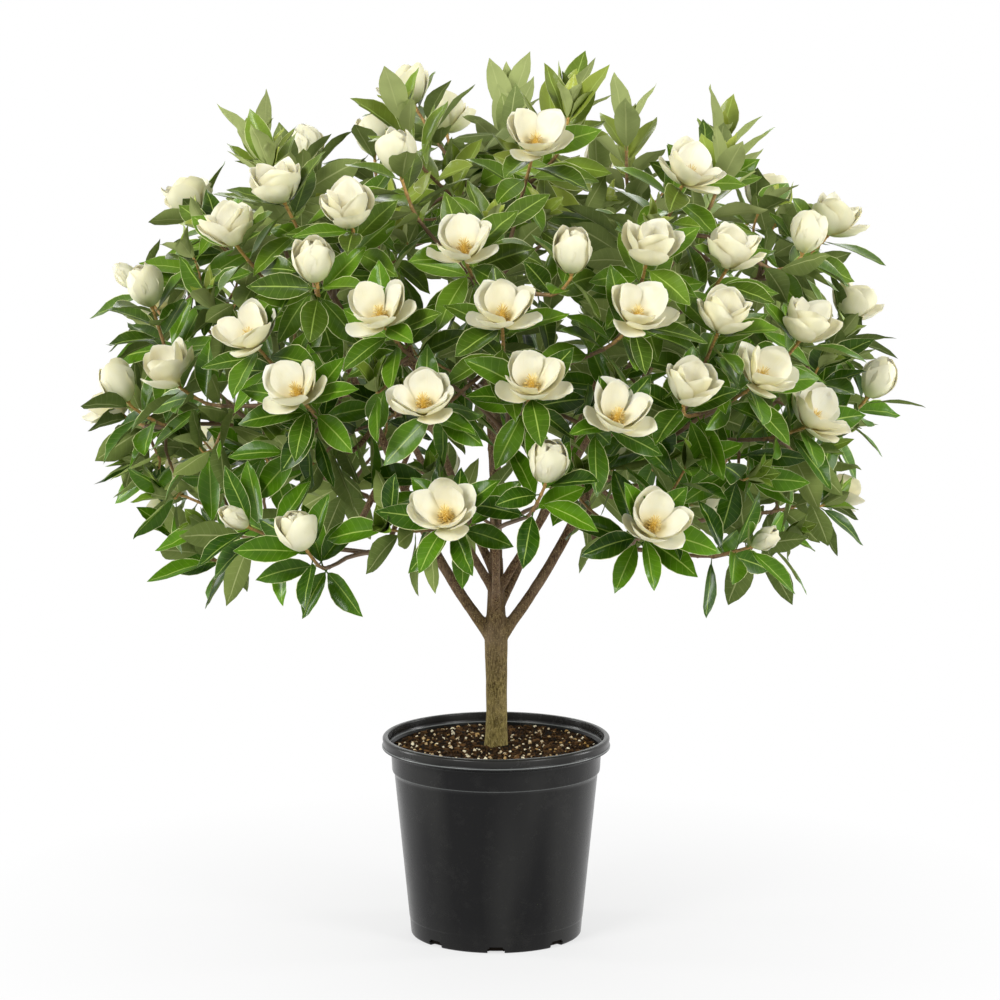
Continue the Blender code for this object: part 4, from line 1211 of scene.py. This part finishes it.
def bent_blade_tree():
    """Puts a blade on each point, and bends, cups, twists and ripples it as its sizes say."""
    tree, add, given, end = new_geometry_tree(
        "bent blades", Blade="Object", Core="Object", Thickness="Float", Ripple="Float",
        Finish="Material",
    )
    known = {
        label: add("GeometryNodeInputNamedAttribute", label, data_type=kind)
        for labels, kind in ((BLADE_PLACES + ("blade",), "FLOAT_VECTOR"), (BLADE_VALUES, "FLOAT"))
        for label in labels
    }
    known |= {label: given[label] for label in ("Thickness", "Ripple")}
    known |= add("SeparateXYZ", known["blade"]).outputs.items()
    blade = add("GeometryNodeObjectInfo", given["Blade"]).outputs["Geometry"]
    points = add("GeometryNodeInstanceOnPoints", Points=given["Geometry"], Instance=blade)
    solid = add("GeometryNodeRealizeInstances", points)
    # The centre line: an arc that falls away from the blade's first direction.
    work_out(add, known, (
        ("bend", "Math", "MULTIPLY", "curl", "Y"),
        ("sine", "Math", "SINE", "bend"),
        ("cosine", "Math", "COSINE", "bend"),
        ("radius", "Math", "DIVIDE", "length", "curl"),
        ("forward", "Math", "MULTIPLY", "radius", "sine"),
        ("short", "Math", "SUBTRACT", 1.0, "cosine"),
        ("dropped", "Math", "MULTIPLY", "radius", "short"),
        ("level", "VectorMath", "MULTIPLY_ADD", "along", "forward", "foot"),
        ("spine", "VectorMath", "MULTIPLY_ADD", "fall", "dropped", "level"),
        ("ahead", "VectorMath", "MULTIPLY", "along", "cosine"),
        ("tangent", "VectorMath", "MULTIPLY_ADD", "fall", "sine", "ahead"),
        ("twisted", "Math", "MULTIPLY", "twist", "Y"),
        ("far", "Math", "MULTIPLY", "Y", PATCH_LENGTH),
        ("patch", "Math", "MULTIPLY", "tint", PATCH_SPREAD),
    ))
    # Across it, the blade is twisted, folded along its middle, and rippled towards its tip.
    known["side"] = add(
        "VectorRotate", Vector=known["across"], Axis=known["tangent"], Angle=known["twisted"],
        rotation_type="AXIS_ANGLE",
    )
    patch = add("CombineXYZ", known["X"], known["far"], known["patch"])
    known["waves"] = add("TexNoise", Vector=patch, Scale=2.2, Detail=1.0)
    work_out(add, known, (
        ("upward", "VectorMath", "CROSS_PRODUCT", "side", "tangent"),
        ("aside", "Math", "MULTIPLY", "X", "width"),
        ("leaned", "Math", "MULTIPLY", "aside", "X"),
        ("cupped", "Math", "MULTIPLY", "leaned", "cup"),
        ("folded", "Math", "ABSOLUTE", "cupped"),
        ("even", "Math", "SUBTRACT", "waves", 0.5),
        ("rippled", "Math", "MULTIPLY", "even", "Ripple"),
        ("ripple", "Math", "MULTIPLY", "rippled", "Y"),
        ("thick", "Math", "MULTIPLY_ADD", "Z", "Thickness", "ripple"),
        ("rise", "Math", "MULTIPLY_ADD", "folded", FOLD_RISE, "thick"),
        ("flat", "VectorMath", "MULTIPLY_ADD", "side", "aside", "spine"),
        ("place", "VectorMath", "MULTIPLY_ADD", "upward", "rise", "flat"),
    ))
    bent = add("GeometryNodeSetPosition", Geometry=solid, Position=known["place"])
    core = add("GeometryNodeObjectInfo", given["Core"]).outputs["Geometry"]
    whole = connect(add("GeometryNodeJoinGeometry", bent), core)
    connect(end, add("GeometryNodeSetMaterial", Geometry=whole, Material=given["Finish"]))
    return tree


def leaf_blades(members):
    """What each leaf of a branch's shoots is to be bent to."""
    blades = []
    for shoot in members:
        # The age mark rises with height. It stands for young growth and for painted light, which
        # makes the top of the crown lighter and the low leaves darker.
        highness = min(1.0, max(0.0, (shoot.tip.z - YOUTH_AND_LIGHT_FROM) / YOUTH_AND_LIGHT_RISE))
        youth_and_painted_light = highness * (LEAFY_YOUTH_AND_LIGHT if shoot.stage == "leaf" else FLOWERING_YOUTH_AND_LIGHT)
        for number, leaf in enumerate(shoot.leaves):
            chance = random.Random(shoot.index * 53 + number)
            blades.append({
                "foot": leaf.foot, "along": leaf.direction, "across": leaf.across,
                "fall": DOWN - leaf.direction * leaf.direction.dot(DOWN),
                "length": leaf.length, "width": leaf.width * LEAF_BREADTH,
                "curl": max(leaf.droop, LEAST_CURL),
                "cup": chance.uniform(*LEAF_FOLD), "twist": chance.uniform(-LEAF_TWIST, LEAF_TWIST),
                "tint": chance.random(), "age": youth_and_painted_light * chance.uniform(0.3, 1.0),
            })
        for number in range(YOUNG_LEAVES if shoot.stage not in FLOWER_SIZE else 0):
            chance = random.Random(shoot.index * 71 + number)
            angle = number * GOLDEN_ANGLE + shoot.index
            out = Matrix.Rotation(angle, 3, shoot.axis) @ shoot.axis.orthogonal().normalized()
            along = (shoot.axis + out * chance.uniform(*YOUNG_SPREAD)).normalized()
            across = along.cross(shoot.axis).normalized()
            blades.append({
                "foot": shoot.tip - shoot.axis * chance.uniform(*YOUNG_FEET),
                "along": along, "across": across, "fall": across.cross(along),
                "length": YOUNG_LENGTH * chance.uniform(0.7, 1.3),
                "width": YOUNG_WIDTH * chance.uniform(0.8, 1.3),
                "curl": YOUNG_CURL, "cup": YOUNG_CUP,
                "twist": chance.uniform(-LEAF_TWIST, LEAF_TWIST), "tint": chance.random(),
                "age": chance.uniform(0.5, 1.0) * (0.25 + 0.75 * highness),
            })
    return blades


def blade_marks(add, *names):
    """Where a point lies on its blade (both ways, across it, along it), and values of the blade."""
    marks = add("UVMap", uv_map="UVMap")
    parts = add("SeparateXYZ", marks).outputs
    own = [add("Attribute", attribute_name=name).outputs["Fac"] for name in names]
    return marks, parts["X"], parts["Y"], *own


def glossy_leaf():
    """A leathery evergreen leaf: waxed and glossy deep green above, with a pale midrib, faint side
    veins and a thin yellow-green margin; dull and pale below; yellower when young. Its age mark rises
    with height, so it also paints light: leaves are lighter high in the crown, and the low undersides
    are left darker as painted shade."""
    finish, add, shader = new_material(
        "magnolia_leaf", Coat_Roughness=0.15, IOR=1.45, Specular_IOR_Level=0.07
    )
    _, aside, along, tint, age, upper = blade_marks(add, "tint", "age", "upper")
    place = add("TexCoord").outputs["Object"]
    edge = add("Math", aside, 2.0, -1.0, operation="MULTIPLY_ADD")
    edge = add("Math", edge, operation="ABSOLUTE")
    mottle = add("TexNoise", Vector=place, Scale=60.0, Detail=3.0)
    shade = add("Math", mottle, 0.7, tint, operation="MULTIPLY_ADD")
    shade = add("MapRange", shade, 0.2, 1.3)
    # Undersides are paler the higher they grow. This is partly young growth and partly painted light,
    # which leaves the low undersides darker as painted shade.
    pale = add("MapRange", age, 0.02, 0.50, 0.0, 0.65)
    # Side veins leave the midrib forward, ten to a blade's length.
    veins = add("Math", edge, -0.10, along, operation="MULTIPLY_ADD")
    veins = add("Math", veins, 10.0, operation="MULTIPLY")
    veins = add("Math", veins, 0.5, operation="PINGPONG")
    vein = add("MapRange", veins, 0.08, 0.0, 0.0, 0.13)
    midrib = add("MapRange", edge, 0.070, 0.025, 0.0, 0.70)
    margin = add("MapRange", edge, 0.94, 0.98, 0.0, 0.80)
    line = add("Math", vein, midrib, operation="MAXIMUM")
    # Above, the age mark paints young leaves yellower and also lightens the top of the crown as
    # painted light.
    sides = {}
    for side, dark, light, over in (
        ("above", "#163404", "#527c12", ((age, "#b4bd55"), (line, "#a8bf5c"), (margin, "#e0e5a6"))),
        ("below", "#586a33", "#84934f", ((pale, "#bcc584"), (line, "#bac283"))),
    ):
        sides[side] = dark
        for factor, paint in ((shade, light), *over):
            sides[side] = add("Mix", factor, sides[side], paint, data_type="RGBA")
    colour = add("Mix", upper, sides["below"], sides["above"], data_type="RGBA")
    rough = add("MapRange", upper, To_Min=0.70, To_Max=0.30)
    waxed = add("Math", upper, 0.18, operation="MULTIPLY")
    sunk = add("Math", line, mottle, operation="SUBTRACT")
    bumps = add("Bump", Height=sunk, Strength=0.35, Distance=-0.0007)
    connect(shader, Base_Color=colour, Roughness=rough, Coat_Weight=waxed, Normal=bumps)
    return finish


def planned_leaves(shoot):
    """How many leaves of a shoot are grown before the crown is filled up."""
    return FRONT_LEAVES if shoot.index < len(FRONT_SHOOTS) else OTHER_LEAVES


for key, members in groups.items():
    for shoot in members:
        for number in range(planned_leaves(shoot)):
            grow_leaf(shoot, key, number, LEAF_TRIES, LEAF_CLEAR)

drawn_shoots = {key: list(members) for key, members in groups.items()}
for tuft in tufts():
    key, first, index = nearest_bend(tuft)
    grow_from(tuft, key, first, index)
    drawn_shoots[key].append(tuft)
for key, members in drawn_shoots.items():
    extra = TOP_EXTRA if key[0] == "top" else 0
    for shoot in members:
        start = 0 if shoot.stage == "tuft" else planned_leaves(shoot)
        for number in range(start, FULL_LEAVES[shoot.stage] + extra):
            grow_leaf(shoot, key, number, FULL_TRIES, FULL_CLEAR)

bend = bent_blade_tree()
leaf_shape = unit_blade("leaf_shape", LEAF_ROWS, 2)
leaf_sizes = {"Blade": leaf_shape, "Thickness": BLADE_THICKNESS, "Ripple": LEAF_RIPPLE}
leaf_sizes["Finish"] = glossy_leaf()
twig_finish = young_bark()
for (tier, sector), members in drawn_shoots.items():
    branch, node = f"{tier}_{sector}", f"leafy_branch_{tier}_{sector}"
    twigs = new_piece(f"twigs_{branch}", twigs_mesh(node, members), twig_finish)
    leaves = grown(f"leaves_{branch}", blade_seeds(node, leaf_blades(members)), bend, leaf_sizes)
    for piece, finish in ((twigs, "bark"), (leaves, "leaf")):
        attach(piece, "root")
        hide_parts(node)
bpy.data.objects.remove(leaf_shape)


# ================================================================== the flowers
# Nine waxy cream tepals in three whorls round a cone of golden carpels and stamens. Each
# flower stands on the end of its own twig. They open from a bud, of which only the two outer
# whorls are made, to a wide bowl.

FLOWER_NODES = 32
BASE_RADIUS = {"open": 0.0040, "half": 0.0040, "cup": 0.0038, "bud": 0.0030}
# For each stage, its whorls from the outside in: number of tepals, length, greatest width, lean
# from the axis at the foot and at the tip in degrees, how deeply cupped, and how far up it sits.
WHORLS = {
    "open": (
        (3, 0.060, 0.049, 86, 32, 0.19, 0.0), (3, 0.065, 0.054, 72, 12, 0.21, 0.001),
        (3, 0.062, 0.050, 60, 8, 0.22, 0.002),
    ),
    "half": (
        (3, 0.065, 0.053, 74, 10, 0.22, 0.0), (3, 0.068, 0.055, 62, -4, 0.25, 0.001),
        (3, 0.063, 0.050, 50, -10, 0.27, 0.002),
    ),
    "cup": (
        (3, 0.074, 0.057, 62, -42, 0.32, 0.0), (3, 0.073, 0.054, 54, -48, 0.34, 0.001),
        (3, 0.067, 0.046, 46, -50, 0.36, 0.002),
    ),
    "bud": (
        (3, 0.059, 0.034, 44, -40, 0.46, 0.0), (3, 0.057, 0.031, 38, -36, 0.48, 0.001),
    ),
}
TEPAL_LEAN_SPREAD, TEPAL_TIP_SPREAD = math.radians(4), math.radians(9)
TEPAL_THICKNESS = 0.00045
TEPAL_ROWS = (
    (0.0, 0.16, 1.0), (0.10, 0.25, 1.3), (0.24, 0.37, 1.1), (0.40, 0.46, 1.0), (0.56, 0.50, 1.0),
    (0.70, 0.49, 0.9), (0.81, 0.42, 0.8), (0.90, 0.30, 0.7), (0.96, 0.16, 0.7), (1.0, 0.02, 0.7),
)
CONE_RADIUS, CONE_HEIGHT = 0.0048, 0.0200
CONE_STEPS, CONE_SIDES = 6, 10
CONE_TAPER = 1.25  # the cone would close at this many times its height
SHOWS_ITS_HEART = ("open", "half")
CLOSED_CONE = 0.25  # how tall the cone is in a flower that hides it
# How far a flower turns from its twig towards the sky, and how much further a tepal on its
# lower side opens than one on its upper side.
UPRIGHT = {"open": 0.36, "half": 0.30, "cup": 0.0, "bud": 0.0}
DROOP = {"open": 0.36, "half": 0.22, "cup": 0.0, "bud": 0.0}
WHORL_STEP = 0.0004  # how much nearer the axis each whorl stands
TEPAL_LENGTHS, TEPAL_WIDTHS, TEPAL_CUPS = (0.94, 1.06), (0.92, 1.08), (0.8, 1.2)
TEPAL_TWIST, TEPAL_TURN, TEPAL_RIPPLE = 0.16, 0.10, 0.009
FOOT_DROOP = 0.4  # how much of a tepal's droop is at its foot

# Stamens stand round the cone's foot, and carpels all the way up it.
STAMENS, CARPELS = 46, 64
STAMEN_LENGTHS, CARPEL_LENGTHS = (0.0095, 0.0135), (0.0075, 0.0105)
STAMEN_WIDTH, CARPEL_WIDTH = 0.0013, 0.0012
STAMEN_LEANS, STAMEN_CURLS = (34, 66), (10, 45)
CARPEL_LEAN, CARPEL_LEAN_FALL, CARPEL_CURLS = 60, 44, (-50, -10)
STAMEN_FOOT, STAMEN_RISE, CARPEL_RISE = 0.002, 0.003, 0.9
STAMEN_CUP, STAMEN_TWIST, STAMEN_THICKNESS, STAMEN_SUNK = 0.2, 0.6, 0.0003, 0.0006
STAMEN_ROWS = ((0.0, 0.34, 1.0), (0.45, 0.50, 1.0), (0.8, 0.42, 1.0), (1.0, 0.12, 1.0))


def flower_place(shoot):
    """Turns a flower that stands upright at the origin onto its twig."""
    facing = shoot.axis.lerp(UP, UPRIGHT[shoot.stage])
    turn = facing.to_track_quat("Z", "Y").to_matrix().to_4x4()
    spin = Matrix.Rotation(shoot.index * GOLDEN_ANGLE, 4, "Z")
    return Matrix.Translation(shoot.tip + shoot.axis * GAP) @ turn @ spin


def leaning_blade(place, angle, radius, height, lean, curl, **sizes):
    """A blade that stands on a flower's axis, leaning out by one angle and curling inward."""
    turn = place.to_3x3()
    out = turn @ Vector((math.cos(angle), math.sin(angle), 0.0))
    round_about = turn @ Vector((-math.sin(angle), math.cos(angle), 0.0))
    axis = turn @ UP
    return {
        "foot": place.translation + out * radius + axis * height,
        "along": out * math.sin(lean) + axis * math.cos(lean),
        "fall": axis * math.sin(lean) - out * math.cos(lean),
        "across": -round_about, "curl": curl, **sizes,
    }


def tepal_blades(shoot):
    """The tepals of a flower, whorl by whorl."""
    blades, place = [], flower_place(shoot)
    for layer, (number, length, width, lean, tip_lean, cup, rise) in enumerate(WHORLS[shoot.stage]):
        radius = BASE_RADIUS[shoot.stage] - WHORL_STEP * layer
        for tepal in range(number):
            chance = random.Random(shoot.index * 131 + layer * 17 + tepal)
            # Each whorl is turned on, so that its tepals lie behind the gaps of the one outside.
            angle = math.tau * (tepal + layer / 3 + (0.5 if layer == 2 else 0.0)) / number
            start = math.radians(lean) + chance.uniform(-1, 1) * TEPAL_LEAN_SPREAD
            finish = math.radians(tip_lean) + chance.uniform(-1, 1) * TEPAL_TIP_SPREAD
            sizes = {
                "length": length * chance.uniform(*TEPAL_LENGTHS),
                "width": width * chance.uniform(*TEPAL_WIDTHS),
                "cup": cup * chance.uniform(*TEPAL_CUPS),
                "twist": chance.uniform(-TEPAL_TWIST, TEPAL_TWIST),
                "tint": chance.random(), "age": layer / 2,
            }
            angle += chance.uniform(-TEPAL_TURN, TEPAL_TURN)
            out = place.to_3x3() @ Vector((math.cos(angle), math.sin(angle), 0.0))
            opening = -DROOP[shoot.stage] * out.z
            start, finish = start + FOOT_DROOP * opening, finish + opening
            blades.append(leaning_blade(place, angle, radius, rise, start, start - finish, **sizes))
    return blades


def stamen_blades(shoot):
    """Stamens round the foot of a flower's cone, and curling carpels all the way up it."""
    blades, place = [], flower_place(shoot)
    for number in range(STAMENS + CARPELS):
        chance = random.Random(shoot.index * 211 + number)
        if number < STAMENS:
            height = STAMEN_FOOT + STAMEN_RISE * (number / STAMENS)
            lean, curl = chance.uniform(*STAMEN_LEANS), chance.uniform(*STAMEN_CURLS)
            length, width = chance.uniform(*STAMEN_LENGTHS), STAMEN_WIDTH
        else:
            share = (number - STAMENS) / CARPELS
            height = STAMEN_FOOT + (STAMEN_RISE + CONE_HEIGHT * share * CARPEL_RISE)
            lean, curl = CARPEL_LEAN - CARPEL_LEAN_FALL * share, chance.uniform(*CARPEL_CURLS)
            length, width = chance.uniform(*CARPEL_LENGTHS), CARPEL_WIDTH
        blades.append(leaning_blade(
            place, number * GOLDEN_ANGLE, cone_radius(height) - STAMEN_SUNK, height,
            math.radians(lean), math.radians(curl), length=length, width=width, cup=STAMEN_CUP,
            twist=chance.uniform(-STAMEN_TWIST, STAMEN_TWIST), tint=chance.random(),
            age=float(number < STAMENS),
        ))
    return blades


def cone_radius(height):
    return CONE_RADIUS * (1 - (height / CONE_HEIGHT / CONE_TAPER) ** 2) ** 0.5


def cones(members):
    """The seat and the cone in the middle of each flower."""
    solids = []
    for shoot in members:
        place = flower_place(shoot)
        share = 1.0 if shoot.stage in SHOWS_ITS_HEART else CLOSED_CONE
        levels = [CONE_HEIGHT * i / CONE_STEPS * share for i in range(CONE_STEPS + 1)]
        path = [place @ (UP * level) for level in levels]
        solids.append(tube(path, [cone_radius(level) for level in levels], CONE_SIDES))
    return new_piece("cones", mesh_of("cones", solids))


def waxy_tepal():
    """A fleshy magnolia tepal: waxy and matt, cream that glows a little where light comes
    through it, warmer and greener to its foot, with faint veins along it."""
    finish, add, shader = new_material(
        "magnolia_tepal", Roughness=0.48, IOR=1.4, Subsurface_Weight=0.30, Subsurface_Scale=0.004,
        Subsurface_Radius=(1.0, 0.85, 0.5), Sheen_Weight=0.08,
    )
    marks, _, along, tint, upper = blade_marks(add, "tint", "upper")
    place = add("TexCoord").outputs["Object"]
    mottle = add("TexNoise", Vector=place, Scale=70.0, Detail=3.0)
    stretched = add("Mapping", marks, Scale=(26.0, 2.0, 1.0))
    veins = add("TexNoise", Vector=stretched, Scale=1.0, Detail=2.0)
    shade = add("Math", mottle, 0.6, tint, operation="MULTIPLY_ADD")
    shade = add("MapRange", shade, 0.2, 1.4)
    foot = add("MapRange", along, 0.48, 0.02, 0.0, 0.9)
    streak = add("MapRange", veins, 0.55, 0.75, 0.0, 0.22)
    cream = add("Mix", shade, "#f4f2de", "#ede8cb", data_type="RGBA")
    warm = add("Mix", upper, "#c6cc80", "#e8d694", data_type="RGBA")
    colour = "#ebe5c0"
    for factor, paint in ((upper, cream), (foot, warm), (streak, "#e6deb0")):
        colour = add("Mix", factor, colour, paint, data_type="RGBA")
    bumps = add("Bump", Height=veins, Strength=0.25, Distance=0.0006)
    connect(shader, Base_Color=colour, Normal=bumps)
    return finish


def golden_stamen():
    """Stamens and carpels: dull gold, reddish-brown where they are crowded at the foot."""
    finish, add, shader = new_material("stamens_and_carpels", Roughness=0.6)
    _, _, along, tint, age = blade_marks(add, "tint", "age")
    gold = add("Mix", tint, "#cca748", "#f3e4a0", data_type="RGBA")
    rust = add("MapRange", along, 0.45, 0.0)
    rust = add("Math", rust, age, operation="MULTIPLY")
    connect(shader, Base_Color=add("Mix", rust, gold, "#8e5e34", data_type="RGBA"))
    return finish


tepal_shape = unit_blade("tepal_shape", TEPAL_ROWS, 3)
stamen_shape = unit_blade("stamen_shape", STAMEN_ROWS, 1)
tepal_sizes = {"Blade": tepal_shape, "Thickness": TEPAL_THICKNESS, "Ripple": TEPAL_RIPPLE}
stamen_sizes = {"Blade": stamen_shape, "Thickness": STAMEN_THICKNESS, "Ripple": 0.0}
tepal_sizes["Finish"], stamen_sizes["Finish"] = waxy_tepal(), golden_stamen()

# The first flowers are nodes of their own, and the others are joined on to their branch.
in_flower = [shoot for shoot in shoots if shoot.stage in FLOWER_SIZE]
blooms = [
    (f"{number:02d}", f"flower_{number:02d}", [shoot])
    for number, shoot in enumerate(in_flower[:FLOWER_NODES], start=1)
]
for (tier, sector), members in groups.items():
    joined_on = [shoot for shoot in members if shoot in in_flower[FLOWER_NODES:]]
    if joined_on:
        blooms.append((f"on_{tier}_{sector}", f"leafy_branch_{tier}_{sector}", joined_on))
for name, node, members in blooms:
    blades = [blade for shoot in members for blade in tepal_blades(shoot)]
    tepals = grown(f"tepals_{name}", blade_seeds(node, blades), bend, tepal_sizes)
    core = cones(members)
    showing = [shoot for shoot in members if shoot.stage in SHOWS_ITS_HEART]
    blades = [blade for shoot in showing for blade in stamen_blades(shoot)]
    stamen_sizes["Core"] = core
    hearts = grown(f"stamens_{name}", blade_seeds(node, blades), bend, stamen_sizes)
    bpy.data.objects.remove(core)
    for piece in (tepals, hearts):
        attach(piece, "root")
        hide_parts(node)
for shape in (tepal_shape, stamen_shape):
    bpy.data.objects.remove(shape)


# ================================================================== the studio
# A plain white floor that runs into a white background, five soft lamps, and a camera that
# stands level with the crown and looks a little down on the pot.

FLOOR_REACH = 14.0
WHITE_FROM, WHITE_TO = 0.10, 0.95  # metres from the pot, over which the floor turns white
FLOOR_GLOW = 0.66  # share of white next to the pot
AMBIENT = 0.27  # strength of the white background as a light
CAMERA_PLACE, CAMERA_DOWN = (0.006, -6.0, 1.64), math.radians(9.14)
# Each lamp's place, the height that it is aimed at, its power, width and height.
LAMPS = {
    "key_left": ((-3.0, -3.8, 3.4), 0.75, 225.0, 2.0, 2.0),
    "key_right": ((3.4, -3.2, 2.6), 0.70, 135.0, 1.5, 2.4),
    "strip_left": ((-3.4, 0.5, 0.9), 0.35, 70.0, 0.7, 2.6),
    "strip_right": ((3.4, 0.5, 0.9), 0.35, 70.0, 0.7, 2.6),
    "rim_back": ((0.0, 3.6, 3.4), 0.80, 70.0, 3.0, 1.6),
}


def shown(add):
    """1 on the rays by which a thing is seen: straight, in a reflection or through glass."""
    rays = add("LightPath").outputs
    seen = rays["Is Camera Ray"]
    for kind in ("Is Glossy Ray", "Is Transmission Ray"):
        seen = add("Math", seen, rays[kind], operation="MAXIMUM")
    return seen


def seamless_floor():
    """Painted studio floor: matt and pale, and seen as pure white away from the pot."""
    finish, add, shader = new_material(
        "seamless_studio_floor", Base_Color="#d2d2d2", Roughness=0.9, Specular_IOR_Level=0.1
    )
    away = add("VectorMath", add("TexCoord").outputs["Object"], operation="LENGTH")
    far = add("MapRange", away.outputs["Value"], WHITE_FROM, WHITE_TO, FLOOR_GLOW)
    share = add("Math", far, shown(add), operation="MULTIPLY")
    both = add("MixShader", share, shader, add("Emission", Color="#ffffff", Strength=1.0))
    connect(finish.node_tree.nodes["Material Output"], Surface=both)
    return finish


def link_in(name, data, place, turn):
    """A lamp or a camera in its place."""
    made = bpy.data.objects.new(name, data)
    made.location, made.rotation_euler = place, turn
    bpy.context.scene.collection.objects.link(made)
    return made


square = ((-1, -1), (1, -1), (1, 1), (-1, 1))
corners = [(x * FLOOR_REACH, y * FLOOR_REACH, 0.0) for x, y in square]
floor_mesh = mesh_from("studio_floor", corners, [(0, 1, 2, 3)])
new_piece("studio_floor", floor_mesh, seamless_floor())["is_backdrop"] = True

world = bpy.data.worlds.new("studio_world")
world.use_nodes = True
add_to_sky = partial(add_node, world.node_tree)
strength = add_to_sky("MapRange", shown(add_to_sky), To_Min=AMBIENT, To_Max=1.0)
connect(world.node_tree.nodes["Background"], Color="#ffffff", Strength=strength)
bpy.context.scene.world = world

for name, (place, aim, power, width, height) in LAMPS.items():
    lamp = bpy.data.lights.new(name, "AREA")
    lamp.shape, lamp.size, lamp.size_y, lamp.energy = "RECTANGLE", width, height, power
    ahead = UP * aim - Vector(place)
    link_in(name, lamp, place, ahead.to_track_quat("-Z", "Y").to_euler())

lens = bpy.data.cameras.new("camera")
lens.lens, lens.sensor_width, lens.clip_end = 144.0, 36.0, 60.0
camera = link_in("camera", lens, CAMERA_PLACE, (math.radians(90) - CAMERA_DOWN, 0.0, 0.0))
bpy.context.scene.camera = camera
bpy.context.scene.view_settings.view_transform = "Standard"

boxes = {"cad_box": cad_box, "visual_box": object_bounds()}
{name: [list(corner) for corner in box] for name, box in boxes.items()}
